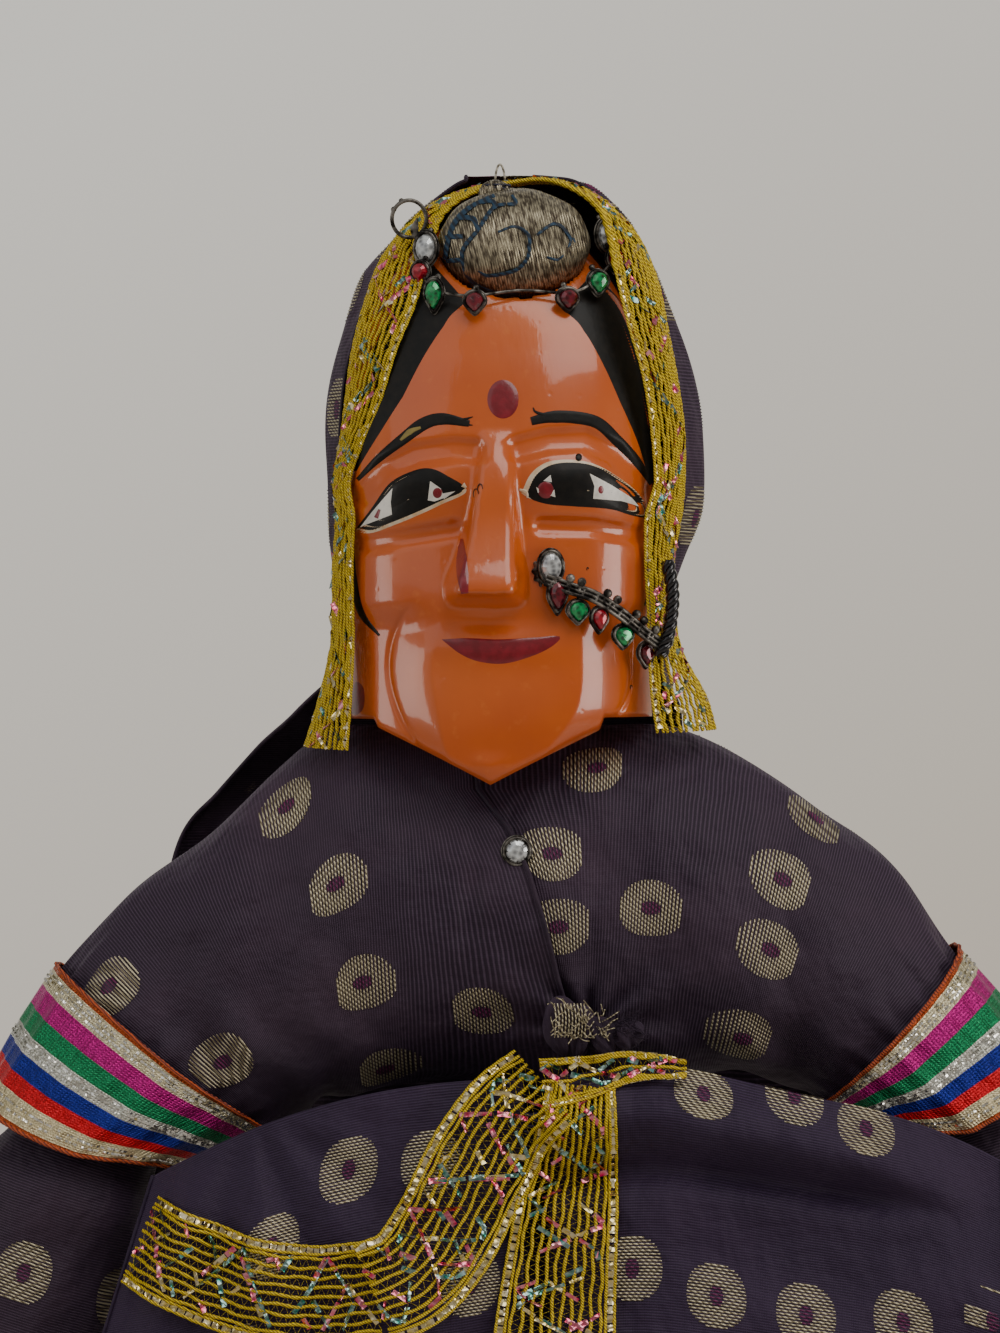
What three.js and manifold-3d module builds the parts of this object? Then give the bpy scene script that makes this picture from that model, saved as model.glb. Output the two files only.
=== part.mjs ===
// Rajasthani kathputli: a string puppet with a painted wooden head, a stuffed cloth body,
// two stuffed arms and an empty pleated skirt.
// Millimetres, +Z up, the puppet faces -Y. The origin is at the thread loop on its crown.
// "right" and "left" are the puppet's own, so the right arm is on the -X side.
import * as THREE from "three";
import { mergeVertices } from "three/addons/utils/BufferGeometryUtils.js";
import Module from "manifold-3d";

const wasm = await Module();
wasm.setup();

// ---------------------------------------------------------------- driving dimensions
const GAP = 0.4; // clearance between neighbouring pieces
const CLOTH = 1.1; // thickness of one doubled cloth wall
const NECK = { x: 0, y: 5, radius: 10.5, low: -108 };
const BUN = { x: 2.5, y: -9, z: -10.8, rx: 12.8, ry: 9.3, rz: 9.4 };
const CHIN_Z = -101.7;
const JAW_Z = -90.5;
const SHOULDER = { x: 33, z: -113, radius: 17 };
const HEM_Z = -498;
const ARM_DEPTH = 12.5;

const FABRIC = { purple: 0x48394f, violet: 0x41325f, stuffing: 0xcfc4ae, skin: 0xc06a2c };
const METAL = { dark: 0x4a4038, gold: 0xb8964a, silver: 0xa9a6a0 };
const GEM = { clear: 0xdfe3e6, red: 0xb01020, green: 0x1f8a3c, wine: 0x5a0f18 };

// ---------------------------------------------------------------- mesh helpers
function signedVolume(points, faces) {
  let sum = 0;
  for (const [a, b, c] of faces) {
    const normal = new THREE.Vector3().crossVectors(points[b], points[c]);
    sum += points[a].dot(normal);
  }
  return sum / 6;
}

function solidFrom(points, faces) {
  const out = signedVolume(points, faces) < 0 ? faces.map(([a, b, c]) => [a, c, b]) : faces;
  const geometry = new THREE.BufferGeometry();
  const flat = points.flatMap((p) => [p.x, p.y, p.z]);
  geometry.setAttribute("position", new THREE.Float32BufferAttribute(flat, 3));
  geometry.setIndex(out.flat());
  geometry.computeVertexNormals();
  return geometry;
}

// Stacks rings of points, all of one length, into a solid with both ends capped.
function loft(rings) {
  const count = rings[0].length;
  const points = rings.flat();
  const faces = [];
  for (let r = 0; r + 1 < rings.length; r++) {
    for (let i = 0; i < count; i++) {
      const a = r * count + i;
      const b = r * count + ((i + 1) % count);
      faces.push([a, b, b + count], [a, b + count, a + count]);
    }
  }
  const last = (rings.length - 1) * count;
  for (let i = 1; i + 1 < count; i++) {
    faces.push([0, i + 1, i], [last, last + i, last + i + 1]);
  }
  return solidFrom(points, faces);
}

// Thickens the surface at(u, v) into one closed sheet. A closed sheet joins up along u.
function sheet(at, nu, nv, thickness, closed = false) {
  const columns = closed ? nu : nu + 1;
  const step = 1e-3;
  const outer = [];
  const inner = [];
  for (let j = 0; j <= nv; j++) {
    for (let i = 0; i < columns; i++) {
      const u = i / nu;
      const v = j / nv;
      const u0 = closed ? u - step : Math.max(0, u - step);
      const u1 = closed ? u + step : Math.min(1, u + step);
      const along = at(u1, v).sub(at(u0, v));
      const down = at(u, Math.min(1, v + step)).sub(at(u, Math.max(0, v - step)));
      const normal = along.cross(down).normalize().multiplyScalar(thickness / 2);
      outer.push(at(u, v).add(normal));
      inner.push(at(u, v).sub(normal));
    }
  }
  const points = outer.concat(inner);
  const under = outer.length;
  const faces = [];
  const quad = (a, b, c, d) => faces.push([a, b, c], [a, c, d]);
  for (let j = 0; j < nv; j++) {
    for (let i = 0; i < nu; i++) {
      const next = closed ? (i + 1) % nu : i + 1;
      const a = j * columns + i;
      const b = j * columns + next;
      quad(a, b, b + columns, a + columns);
      quad(under + a, under + a + columns, under + b + columns, under + b);
    }
  }
  for (let i = 0; i < nu; i++) {
    const next = closed ? (i + 1) % nu : i + 1;
    const low = nv * columns;
    quad(i, under + i, under + next, next);
    quad(low + i, low + next, under + low + next, under + low + i);
  }
  if (!closed) {
    for (let j = 0; j < nv; j++) {
      const a = j * columns;
      const b = a + columns;
      quad(a, b, under + b, under + a);
      quad(a + nu, under + a + nu, under + b + nu, b + nu);
    }
  }
  return solidFrom(points, faces);
}

// A round wire along a smooth path, closed on itself or with flat ends.
function wire(points, radius, closed = false, steps = 24, sides = 6) {
  const curve = new THREE.CatmullRomCurve3(points, closed);
  const frames = curve.computeFrenetFrames(steps, closed);
  const rings = [];
  const count = closed ? steps : steps + 1;
  for (let i = 0; i < count; i++) {
    const centre = curve.getPointAt(i / steps);
    const ring = [];
    for (let k = 0; k < sides; k++) {
      const angle = (2 * Math.PI * k) / sides;
      const a = frames.normals[i].clone().multiplyScalar(Math.cos(angle) * radius);
      const b = frames.binormals[i].clone().multiplyScalar(Math.sin(angle) * radius);
      ring.push(centre.clone().add(a).add(b));
    }
    rings.push(ring);
  }
  if (!closed) return loft(rings);
  const all = rings.flat();
  const faces = [];
  for (let i = 0; i < count; i++) {
    for (let k = 0; k < sides; k++) {
      const a = i * sides + k;
      const b = i * sides + ((k + 1) % sides);
      const c = ((i + 1) % count) * sides + ((k + 1) % sides);
      const d = ((i + 1) % count) * sides + k;
      faces.push([a, b, c], [a, c, d]);
    }
  }
  return solidFrom(all, faces);
}

function toManifold(source) {
  const geometry = source.clone();
  geometry.deleteAttribute("normal");
  geometry.deleteAttribute("uv");
  const merged = mergeVertices(geometry, 1e-4);
  const mesh = new wasm.Mesh({
    numProp: 3,
    vertProperties: new Float32Array(merged.getAttribute("position").array),
    triVerts: new Uint32Array(merged.getIndex().array),
  });
  return new wasm.Manifold(mesh);
}

function fromManifold(solid) {
  const mesh = solid.getMesh();
  const geometry = new THREE.BufferGeometry();
  const array = new Float32Array(mesh.vertProperties);
  geometry.setAttribute("position", new THREE.BufferAttribute(array, mesh.numProp));
  geometry.setIndex(Array.from(mesh.triVerts));
  geometry.computeVertexNormals();
  return geometry;
}

// A flat outline pushed straight up +Z.
function pushed(outline, height) {
  const shape = new THREE.Shape(outline.map(([a, b]) => new THREE.Vector2(a, b)));
  return new THREE.ExtrudeGeometry(shape, { depth: height, bevelEnabled: false });
}

// The outline gives x and z.
function prismAlongY(outline, y0, y1) {
  return toManifold(pushed(outline, y1 - y0).rotateX(Math.PI / 2).translate(0, y1, 0));
}

// The outline gives y and z.
function prismAlongX(outline, x0, x1) {
  const turned = pushed(outline, x1 - x0).rotateX(Math.PI / 2).rotateZ(Math.PI / 2);
  return toManifold(turned.translate(x0, 0, 0));
}

function cylinderAlongY(x, z, radius) {
  return toManifold(new THREE.CylinderGeometry(radius, radius, 120, 36).translate(x, 0, z));
}

function cylinderAlongZ(x, y, z0, z1, radius) {
  const upright = new THREE.CylinderGeometry(radius, radius, z1 - z0, 28).rotateX(Math.PI / 2);
  return toManifold(upright.translate(x, y, (z0 + z1) / 2));
}

// Reads a table of rows that starts with a falling height, straight between its rows.
function lookup(rows, height) {
  let i = 0;
  while (i < rows.length - 2 && height < rows[i + 1][0]) i++;
  const a = rows[i];
  const b = rows[i + 1];
  const t = THREE.MathUtils.clamp((height - a[0]) / (b[0] - a[0]), 0, 1);
  return a.map((entry, k) => entry + (b[k] - entry) * t);
}

// ---------------------------------------------------------------- head
// height, half width, front y, back y
const HEAD_ROWS = [
  [-5, 5, -1, 11],
  [-8, 11, -5, 18],
  [-14, 17.5, -11, 23],
  [-20, 21.5, -15.5, 25],
  [-30, 24.8, -19.5, 26.3],
  [-42, 26.2, -22.5, 26.6],
  [-50, 26.4, -24.5, 26.6],
  [-57, 26.4, -22.3, 26.3],
  [-70, 26.4, -24.0, 25.5],
  [-80, 26.4, -24.6, 24.5],
  [-92, 26.3, -25.2, 23],
  [-104, 24, -24, 21],
];
const HEAD_POWER = 2.5;

function headBlock() {
  const rings = HEAD_ROWS.map(([z, half, front, back]) => {
    const ring = [];
    const sides = 36;
    for (let i = 0; i < sides; i++) {
      const angle = (2 * Math.PI * i) / sides;
      const c = Math.sign(Math.sin(angle)) * Math.abs(Math.sin(angle)) ** (2 / HEAD_POWER);
      const s = Math.sign(Math.cos(angle)) * Math.abs(Math.cos(angle)) ** (2 / HEAD_POWER);
      const reach = s > 0 ? 2 - front : back - 2;
      ring.push(new THREE.Vector3(half * c, 2 - reach * s, z));
    }
    return ring;
  });
  const block = toManifold(loft(rings));
  const jaw = prismAlongY(
    [
      [-40, 5],
      [-40, JAW_Z],
      [-21, JAW_Z - 0.3],
      [-20.5, -92.2],
      [-1.7, CHIN_Z],
      [16.7, -92.6],
      [17.2, JAW_Z],
      [40, JAW_Z + 0.5],
      [40, 5],
    ],
    -60,
    60,
  );
  const chinProfile = prismAlongX(
    [
      [-60, 5],
      [-60, -104],
      [-18, -102.5],
      [-6, JAW_Z],
      [60, JAW_Z],
      [60, 5],
    ],
    -60,
    60,
  );
  const neck = cylinderAlongZ(NECK.x, NECK.y, NECK.low, JAW_Z + 6, NECK.radius);
  const nose = toManifold(noseWedge());
  const bun = toManifold(ellipsoid(BUN, GAP));
  return fromManifold(block.intersect(jaw).intersect(chinProfile).add(neck).add(nose).subtract(bun));
}

function noseWedge() {
  const row = (z, half, front) => {
    const back = -14;
    return [
      new THREE.Vector3(-half - 1.3, back, z),
      new THREE.Vector3(-half * 0.45 - 1.3, front, z),
      new THREE.Vector3(half * 0.45 - 1.3, front, z),
      new THREE.Vector3(half - 1.3, back, z),
    ];
  };
  return loft([row(-45, 4.5, -25), row(-58, 5, -27.5), row(-69.5, 7, -33), row(-71.5, 6.2, -30)]);
}

function ellipsoid({ x, y, z, rx, ry, rz }, grow = 0) {
  const rings = [];
  const levels = 10;
  const sides = 20;
  for (let j = 1; j < levels; j++) {
    const polar = (Math.PI * j) / levels;
    const ring = [];
    for (let i = 0; i < sides; i++) {
      const angle = (2 * Math.PI * i) / sides;
      ring.push(
        new THREE.Vector3(
          x + (rx + grow) * Math.sin(polar) * Math.cos(angle),
          y + (ry + grow) * Math.sin(polar) * Math.sin(angle),
          z + (rz + grow) * Math.cos(polar),
        ),
      );
    }
    rings.push(ring);
  }
  return loft(rings);
}

function crownLoop() {
  const path = [];
  for (let i = 0; i < 10; i++) {
    const angle = (2 * Math.PI * i) / 10;
    path.push(new THREE.Vector3(0.9 * Math.cos(angle), 0, -0.6 + 4 * Math.sin(angle)));
  }
  return wire(path, 0.22, true, 14, 4);
}

function borlaKnot() {
  const path = [];
  for (let i = 0; i < 12; i++) {
    const angle = (2 * Math.PI * i) / 12;
    path.push(new THREE.Vector3(2.2 * Math.cos(angle), -8 + 1.6 * Math.sin(angle), -0.55));
  }
  return wire(path, 0.45, true, 16, 5);
}

// Stones around the brow: x, y, z, half width, half height, colour
const BROW_STONES = [
  [-12.4, -11.5, -11.7, 1.6, 2.1, "clear"],
  [-13.3, -12.8, -15.8, 1.3, 1.4, "red"],
  [-11.0, -16.4, -19.6, 1.3, 1.9, "green"],
  [-4.2, -18.8, -22.0, 1.4, 1.3, "wine"],
  [11.3, -17.0, -21.3, 1.5, 1.3, "wine"],
  [16.4, -13.8, -17.4, 1.5, 1.4, "green"],
  [19.3, -10.4, -13.4, 1.3, 1.4, "red"],
  [17.8, -8.4, -9.2, 1.5, 2.0, "clear"],
];
const NATH_STONES = [
  [9.5, -25.4, -70.0, 1.3, 1.9, "wine"],
  [12.9, -25.1, -72.7, 1.5, 1.3, "green"],
  [16.4, -24.1, -74.0, 1.2, 1.4, "red"],
  [20.4, -21.4, -76.8, 1.5, 1.3, "green"],
  [24.3, -16.6, -79.8, 1.3, 1.4, "wine"],
];

// A stone looks outwards from the axis of the head.
function stonePlace([x, y, z]) {
  return { centre: new THREE.Vector3(x, y, z), out: new THREE.Vector3(0.35 * x, -12, 0).normalize() };
}

function facing(centre, out, shapePoints) {
  const turn = new THREE.Quaternion().setFromUnitVectors(new THREE.Vector3(0, -1, 0), out);
  return shapePoints.map((p) => p.clone().applyQuaternion(turn).add(centre));
}

function oval(halfX, halfZ, depth, sides = 8) {
  const ring = [];
  for (let i = 0; i < sides; i++) {
    const angle = (2 * Math.PI * (i + 0.5)) / sides;
    ring.push(new THREE.Vector3(halfX * Math.cos(angle), -depth, halfZ * Math.sin(angle)));
  }
  return ring;
}

// A domed stone that stands on its setting.
function stone(spec) {
  const { centre, out } = stonePlace(spec);
  const halfX = spec[3];
  const halfZ = spec[4];
  const rings = [
    oval(halfX * 0.9, halfZ * 0.9, 0.65),
    oval(halfX, halfZ, 1.0),
    oval(halfX * 0.86, halfZ * 0.86, 1.45),
    oval(halfX * 0.45, halfZ * 0.45, 1.7),
  ];
  return loft(rings.map((ring) => facing(centre, out, ring)));
}

function setting(spec) {
  const { centre, out } = stonePlace(spec);
  const halfX = spec[3] + 0.45;
  const halfZ = spec[4] + 0.45;
  const rings = [oval(halfX, halfZ, -0.8), oval(halfX, halfZ, 0.35)];
  return toManifold(loft(rings.map((ring) => facing(centre, out, ring))));
}

// The settings of a row of stones, joined by a flat wire.
function stoneStrip(specs, radius) {
  const path = specs.map((spec) => {
    const { centre, out } = stonePlace(spec);
    return centre.addScaledVector(out, -0.75);
  });
  let strip = toManifold(wire(path, radius, false, specs.length * 3, 5));
  for (const spec of specs) strip = strip.add(setting(spec));
  return fromManifold(strip);
}

function hairRing() {
  const path = [];
  for (let i = 0; i < 14; i++) {
    const angle = (2 * Math.PI * i) / 14;
    path.push(
      new THREE.Vector3(-15.3 + 2.9 * Math.cos(angle), -9.6 - 0.5 * Math.sin(angle), -6.6 + 3.1 * Math.sin(angle)),
    );
  }
  return wire(path, 0.35, true, 18, 5);
}

// ---------------------------------------------------------------- veil
// half width, y of the cloth at the border, y at the back; by height
const VEIL_ROWS = [
  [-0.6, 2, 6.5, 9],
  [-2.2, 10, 5, 16],
  [-8, 18.5, 1, 23.5],
  [-16, 24.5, -3, 27.5],
  [-28, 28, -5.5, 29.3],
  [-42, 29.8, -6, 30],
  [-60, 30.2, -6.5, 30],
  [-80, 30.2, -5.5, 29.5],
  [-88, 33, 6, 29.5],
  [-95, 40, 18, 30],
  [-103, 47, 25.2, 31],
  [-112, 53, 26.6, 32],
  [-130, 56, 27, 33.5],
  [-150, 58, 27, 34.5],
  [-172, 60, 27.5, 35],
];

function veilAt(u, v) {
  const place = v * (VEIL_ROWS.length - 1);
  const i = Math.min(VEIL_ROWS.length - 2, Math.floor(place));
  const t = place - i;
  const [z, half, front, back] = VEIL_ROWS[i].map((a, k) => a + (VEIL_ROWS[i + 1][k] - a) * t);
  const turn = (u - 0.5) * Math.PI;
  const x = half * Math.sin(turn);
  const y = front + (back - front) * Math.max(0, Math.cos(turn)) ** 0.62;
  return new THREE.Vector3(x + (z > -10 ? 1.2 : 0.6), y, z);
}

// the border lace: free edge, then the edge that meets the cloth
const BORDER = [
  [-27.6, -12.5, -89, -31.6, -5.2, -90],
  [-27.6, -13.5, -78, -29.6, -6.6, -78],
  [-27.4, -14, -60, -29.6, -7.6, -60],
  [-26.6, -13.5, -42, -29.2, -7.2, -42],
  [-22.8, -12.2, -28, -27.4, -6.8, -28],
  [-18, -8.8, -16.5, -23.9, -4.3, -16],
  [-13.4, -4.2, -7.4, -17.4, -0.2, -7.6],
  [-8, 1.6, -1.6, -9.2, 4.6, -1.8],
  [1.2, 2.4, 0.1, 1.2, 6.2, -0.4],
  [12.2, 1.2, -2.2, 11.6, 4.4, -1.8],
  [17.6, -3.4, -8.6, 19.8, -0.2, -7.6],
  [22.4, -8.6, -17.5, 25.1, -4.3, -16],
  [25.8, -12.0, -28, 28.6, -6.8, -28],
  [28.4, -13.5, -42, 30.4, -7.2, -42],
  [28.6, -14, -60, 30.8, -7.6, -60],
  [28.8, -13.5, -78, 30.8, -6.6, -78],
  [30, -12.5, -89, 33, -5.2, -90],
];

function borderAt(u, v) {
  const place = u * (BORDER.length - 1);
  const i = Math.min(BORDER.length - 2, Math.floor(place));
  const t = place - i;
  const row = BORDER[i].map((a, k) => a + (BORDER[i + 1][k] - a) * t);
  const free = new THREE.Vector3(row[0], row[1], row[2]);
  const joined = new THREE.Vector3(row[3], row[4], row[5]);
  return free.lerp(joined, v);
}

// ---------------------------------------------------------------- bodice, torso and arms
// each section: top x, top z, bottom x, bottom z, half depth; the first five cross the trunk
const SECTIONS = {
  right: [
    [0, -95.8, 0, -152.5, 21.5],
    [-14, -94.4, -12, -152.5, 21.5],
    [-27, -93.6, -22, -153.5, 20.5],
    [-38, -99.5, -28, -155.6, 19],
    [-52, -111.5, -31, -157.6, 18],
    [-63, -121.5, -33.5, -159.4, 17.2],
    [-72.5, -131, -38, -161.4, 16.5],
    [-79, -141, -45.5, -164, 15.6],
    [-84.5, -150.5, -53.5, -166.5, 15],
  ],
  left: [
    [0, -95.8, 0, -152.5, 21.5],
    [14, -94.4, 12, -151.8, 21.5],
    [29, -93.6, 24, -151, 20.5],
    [46.5, -100.3, 36, -151.6, 19],
    [58, -107.8, 43, -152.6, 17.8],
    [68, -118, 49, -153.8, 16.6],
    [77, -130.5, 54.8, -155.6, 15.2],
    [85.8, -141.4, 62, -160.4, 14.6],
    [93, -152.5, 70, -165.5, 14],
  ],
};

function sectionPoint(side, v, angle, inset) {
  const rows = SECTIONS[side];
  const place = v * (rows.length - 1);
  const i = Math.min(rows.length - 2, Math.floor(place));
  const t = place - i;
  const [tx, tz, bx, bz, depth] = rows[i].map((a, k) => a + (rows[i + 1][k] - a) * t);
  const half = Math.hypot(tx - bx, tz - bz) / 2;
  const up = new THREE.Vector3(tx - bx, 0, tz - bz).normalize();
  const centre = new THREE.Vector3((tx + bx) / 2, 1 - v, (tz + bz) / 2);
  return centre
    .add(up.multiplyScalar((half - inset) * Math.cos(angle)))
    .add(new THREE.Vector3(0, -(depth - inset) * Math.sin(angle), 0));
}

const LAST_BODICE = 7 / 8; // the bodice cloth ends under the middle of the armband

function bodiceHalf(side) {
  const sign = side === "right" ? -1 : 1;
  const shell = sheet(
    (u, v) => {
      const point = sectionPoint(side, v * LAST_BODICE, 2 * Math.PI * u, CLOTH / 2);
      if (v < 0.02) point.x += sign * (GAP / 2) * (1 - v / 0.02);
      return point;
    },
    22,
    7,
    CLOTH,
    true,
  );
  const hole = cylinderAlongZ(NECK.x, NECK.y, -112, -80, NECK.radius + 2.6);
  return fromManifold(toManifold(shell).subtract(hole));
}

function inside(side, fromV, toV, steps) {
  const rings = [];
  for (let j = 0; j <= steps; j++) {
    const v = fromV + ((toV - fromV) * j) / steps;
    const ring = [];
    for (let i = 0; i < 22; i++) {
      ring.push(sectionPoint(side, v, (2 * Math.PI * i) / 22, CLOTH + GAP));
    }
    rings.push(ring);
  }
  return rings;
}

function torsoStuffing() {
  const rings = inside("right", 0.25, 0, 2).concat(inside("left", 0, 0.25, 2).slice(1));
  const trunk = toManifold(loft(rings));
  const keep = prismAlongY(
    [
      [-22, -60],
      [-22, -126.8],
      [-29.5, -148.5],
      [-29.5, -150.3],
      [26, -150.3],
      [26, -146],
      [22, -126.8],
      [22, -60],
    ],
    -60,
    60,
  );
  const neck = cylinderAlongZ(NECK.x, NECK.y, NECK.low - 2, -60, NECK.radius + 0.6);
  let body = trunk.intersect(keep).subtract(neck);
  for (const sign of [-1, 1]) {
    body = body.subtract(cylinderAlongY(sign * SHOULDER.x, SHOULDER.z, SHOULDER.radius + GAP));
  }
  return fromManifold(body);
}

function upperArm(side) {
  const sign = side === "right" ? -1 : 1;
  const hull = toManifold(loft(inside(side, 1 / 8, 1, 7)));
  const pivot = [sign * SHOULDER.x, SHOULDER.z];
  const armpit = side === "right" ? [-32.2, -160] : [33, -156];
  const upper = side === "right" ? [-0.84, 0.54] : [0.7, 0.71];
  const outline = [
    pivot,
    [sign * 22.6, -126.3],
    armpit,
    [armpit[0] + sign * 6, -185],
    [sign * 120, -185],
    [sign * 120, -60],
    [pivot[0] + upper[0] * 60, pivot[1] + upper[1] * 60],
  ];
  const region = prismAlongY(outline, -60, 60).add(
    cylinderAlongY(pivot[0], pivot[1], SHOULDER.radius),
  );
  return fromManifold(hull.intersect(region));
}

function armband(side) {
  return sheet(
    (u, v) => sectionPoint(side, 0.75 + 0.25 * v, 2 * Math.PI * u, -CLOTH / 2 - GAP),
    22,
    2,
    CLOTH,
    true,
  );
}

const FOREARM = {
  right: { pivot: [-75.4, -173.0], dir: [-0.31, -0.951], half: 14.5, wrist: 9.5 },
  left: { pivot: [88.4, -173.4], dir: [0.3, -0.954], half: 13.5, wrist: 9.5 },
};
const FOREARM_LENGTH = 76;
const HAND_LENGTH = 27;

// a flat oval ring across the forearm, at a distance below the elbow
function armRing(side, along, halfWide, halfDeep, sides = 20) {
  const { pivot, dir } = FOREARM[side];
  const ring = [];
  for (let i = 0; i < sides; i++) {
    const angle = (2 * Math.PI * i) / sides;
    const across = halfWide * Math.cos(angle);
    ring.push(
      new THREE.Vector3(
        pivot[0] + dir[0] * along - dir[1] * across,
        -halfDeep * Math.sin(angle),
        pivot[1] + dir[1] * along + dir[0] * across,
      ),
    );
  }
  return ring;
}

function forearmWidth(side, along) {
  const { half, wrist } = FOREARM[side];
  const t = THREE.MathUtils.clamp(along / FOREARM_LENGTH, 0, 1);
  return half + (wrist - half) * t * t;
}

// The elbow end is round about the joint's Y axis.
function forearmStuffing(side) {
  const rings = [];
  const reach = FOREARM[side].half;
  for (const share of [0.985, 0.9, 0.72, 0.45, 0.2]) {
    const wide = reach * Math.sqrt(1 - share * share);
    rings.push(armRing(side, -reach * share, wide, ARM_DEPTH * (1 - 0.3 * share ** 4)));
  }
  for (const along of [0, 18, 38, 56, FOREARM_LENGTH]) {
    const wide = forearmWidth(side, along);
    rings.push(armRing(side, along, wide, Math.min(ARM_DEPTH, wide * 0.9)));
  }
  return loft(rings);
}

function sleeveAt(side, u, v, out) {
  const along = -12 + (FOREARM_LENGTH + 10) * v;
  const wide = forearmWidth(side, Math.max(0, along)) + out;
  const deep = Math.min(ARM_DEPTH, wide * 0.92) + out + 0.6;
  const { pivot, dir } = FOREARM[side];
  const across = wide * Math.cos(2 * Math.PI * u);
  return new THREE.Vector3(
    pivot[0] + dir[0] * along - dir[1] * across,
    -deep * Math.sin(2 * Math.PI * u),
    pivot[1] + dir[1] * along + dir[0] * across,
  );
}

function sleeve(side) {
  return sheet((u, v) => sleeveAt(side, u, v, 1.2), 18, 6, CLOTH, true);
}

function cuff(side) {
  return sheet((u, v) => sleeveAt(side, u, 0.83 + 0.15 * v, 2.9), 18, 1, CLOTH, true);
}

function hand(side) {
  const start = FOREARM_LENGTH + 0.6;
  const rows = [
    [0, 8.6, 7.4],
    [5, 8.2, 6.6],
    [14, 9.4, 5.6],
    [22, 7.8, 4.6],
    [HAND_LENGTH, 3.6, 2.6],
  ];
  return loft(rows.map(([along, wide, deep]) => armRing(side, start + along, wide, deep, 18)));
}

function loopAt(centre, alongDir, halfLong, halfWide) {
  const path = [];
  const side = new THREE.Vector3(0, 1, 0);
  for (let i = 0; i < 10; i++) {
    const angle = (2 * Math.PI * i) / 10;
    path.push(
      centre
        .clone()
        .add(alongDir.clone().multiplyScalar(halfLong * Math.cos(angle)))
        .add(side.clone().multiplyScalar(halfWide * Math.sin(angle))),
    );
  }
  return wire(path, 0.28, true, 14, 4);
}

function handLoop(side) {
  const { pivot, dir } = FOREARM[side];
  const along = FOREARM_LENGTH + HAND_LENGTH + 3.6;
  const direction = new THREE.Vector3(dir[0], 0, dir[1]);
  const centre = new THREE.Vector3(pivot[0], 0, pivot[1]).addScaledVector(direction, along);
  return loopAt(centre, direction, 2.5, 1.2);
}

function neckBinding() {
  const path = [];
  for (let i = 0; i < 20; i++) {
    const angle = (2 * Math.PI * i) / 20;
    const reach = NECK.radius + 1.4;
    path.push(
      new THREE.Vector3(reach * Math.cos(angle), NECK.y + reach * Math.sin(angle), -94.5),
    );
  }
  return wire(path, 0.8, true, 26, 5);
}

function bodiceFront(z) {
  const lift = (z + 124) / 28.5;
  return 1 - 21.5 * Math.sqrt(Math.max(0.02, 1 - lift * lift));
}

function button() {
  const z = -112.8;
  const x = 2.8;
  const centre = new THREE.Vector3(x, bodiceFront(z) - 0.9, z);
  const out = new THREE.Vector3(0, -1, 0.35).normalize();
  const rings = [oval(1.6, 1.6, 0), oval(2.15, 2.15, 0.5), oval(1.5, 1.5, 1.3)];
  return loft(rings.map((ring) => facing(centre, out, ring)));
}

function waistKnot() {
  const centre = new THREE.Vector3(16.5, -21.4, -144.2);
  const rings = [
    oval(2.2, 1.6, -3.2),
    oval(5.8, 3.6, -1.6),
    oval(6.6, 4.2, 0.4),
    oval(4.6, 3.0, 2.6),
    oval(1.6, 1.2, 3.6),
  ];
  return loft(rings.map((ring) => facing(centre, new THREE.Vector3(0, -1, 0.1).normalize(), ring)));
}

// ---------------------------------------------------------------- skirt and waist wrap
// height, half width, half depth, pleat depth
const SKIRT_ROWS = [
  [-163, 24, 17, 0.5],
  [-180, 34, 23, 1.5],
  [-220, 47, 31, 2.6],
  [-290, 62, 42, 4],
  [-400, 85, 57, 5.4],
  [HEM_Z, 104, 70, 6.4],
];
const PLEATS = 16;

function skirtAt(u, z, out = 0) {
  const [, half, deep, pleat] = lookup(SKIRT_ROWS, z);
  const angle = 2 * Math.PI * u;
  const wave = 1 + (pleat * Math.cos(PLEATS * angle)) / half;
  return new THREE.Vector3(
    (half * wave + out) * Math.sin(angle),
    1 - (deep * wave + out) * Math.cos(angle),
    z,
  );
}

function ghagra() {
  const top = SKIRT_ROWS[0][0];
  return sheet((u, v) => skirtAt(u, top + (HEM_Z - top) * v), PLEATS * 4, 5, CLOTH, true);
}

function hemGota() {
  return sheet((u, v) => skirtAt(u, HEM_Z + 21 - 21 * v, 1.6), PLEATS * 4, 1, 0.9, true);
}

function waistband() {
  const at = (u, v) => {
    const angle = 2 * Math.PI * u;
    return new THREE.Vector3(22 * Math.sin(angle), 1 - 15.4 * Math.cos(angle), -157 - 5.2 * v);
  };
  return sheet(at, 24, 1, 2, true);
}

// The odhni's two ends lie over the skirt's top at the front.
function wrapRightAt(u, v) {
  const x = 3 - 58 * u;
  const top = -151 - 17 * u ** 2.2;
  const low = -196 - 10 * u;
  const z = top + (low - top) * v;
  const bulge = 1.5 * Math.sin(Math.PI * u) + 1.5 * Math.sin(Math.PI * v);
  return new THREE.Vector3(x, -21.2 - bulge - 7 * v * (1 - 0.3 * u), z);
}

function wrapLeftAt(u, v) {
  const x = 8 + 79 * u;
  const top = -149.5 - 15 * u ** 2;
  const low = -226 - 4 * u;
  const z = top + (low - top) * v;
  const fold = 3 * Math.exp(-(((v - 0.12) / 0.09) ** 2));
  return new THREE.Vector3(x, -21.5 - fold - 11 * v, z);
}

function ribbonBetween(points, width, lean = 0) {
  const curve = new THREE.CatmullRomCurve3(points.map((p) => new THREE.Vector3(...p)));
  return (u, v) => {
    const centre = curve.getPoint(u);
    const tangent = curve.getTangent(u);
    const side = new THREE.Vector3(-tangent.z, lean, tangent.x).normalize();
    return centre.add(side.multiplyScalar((v - 0.5) * width));
  };
}

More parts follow.
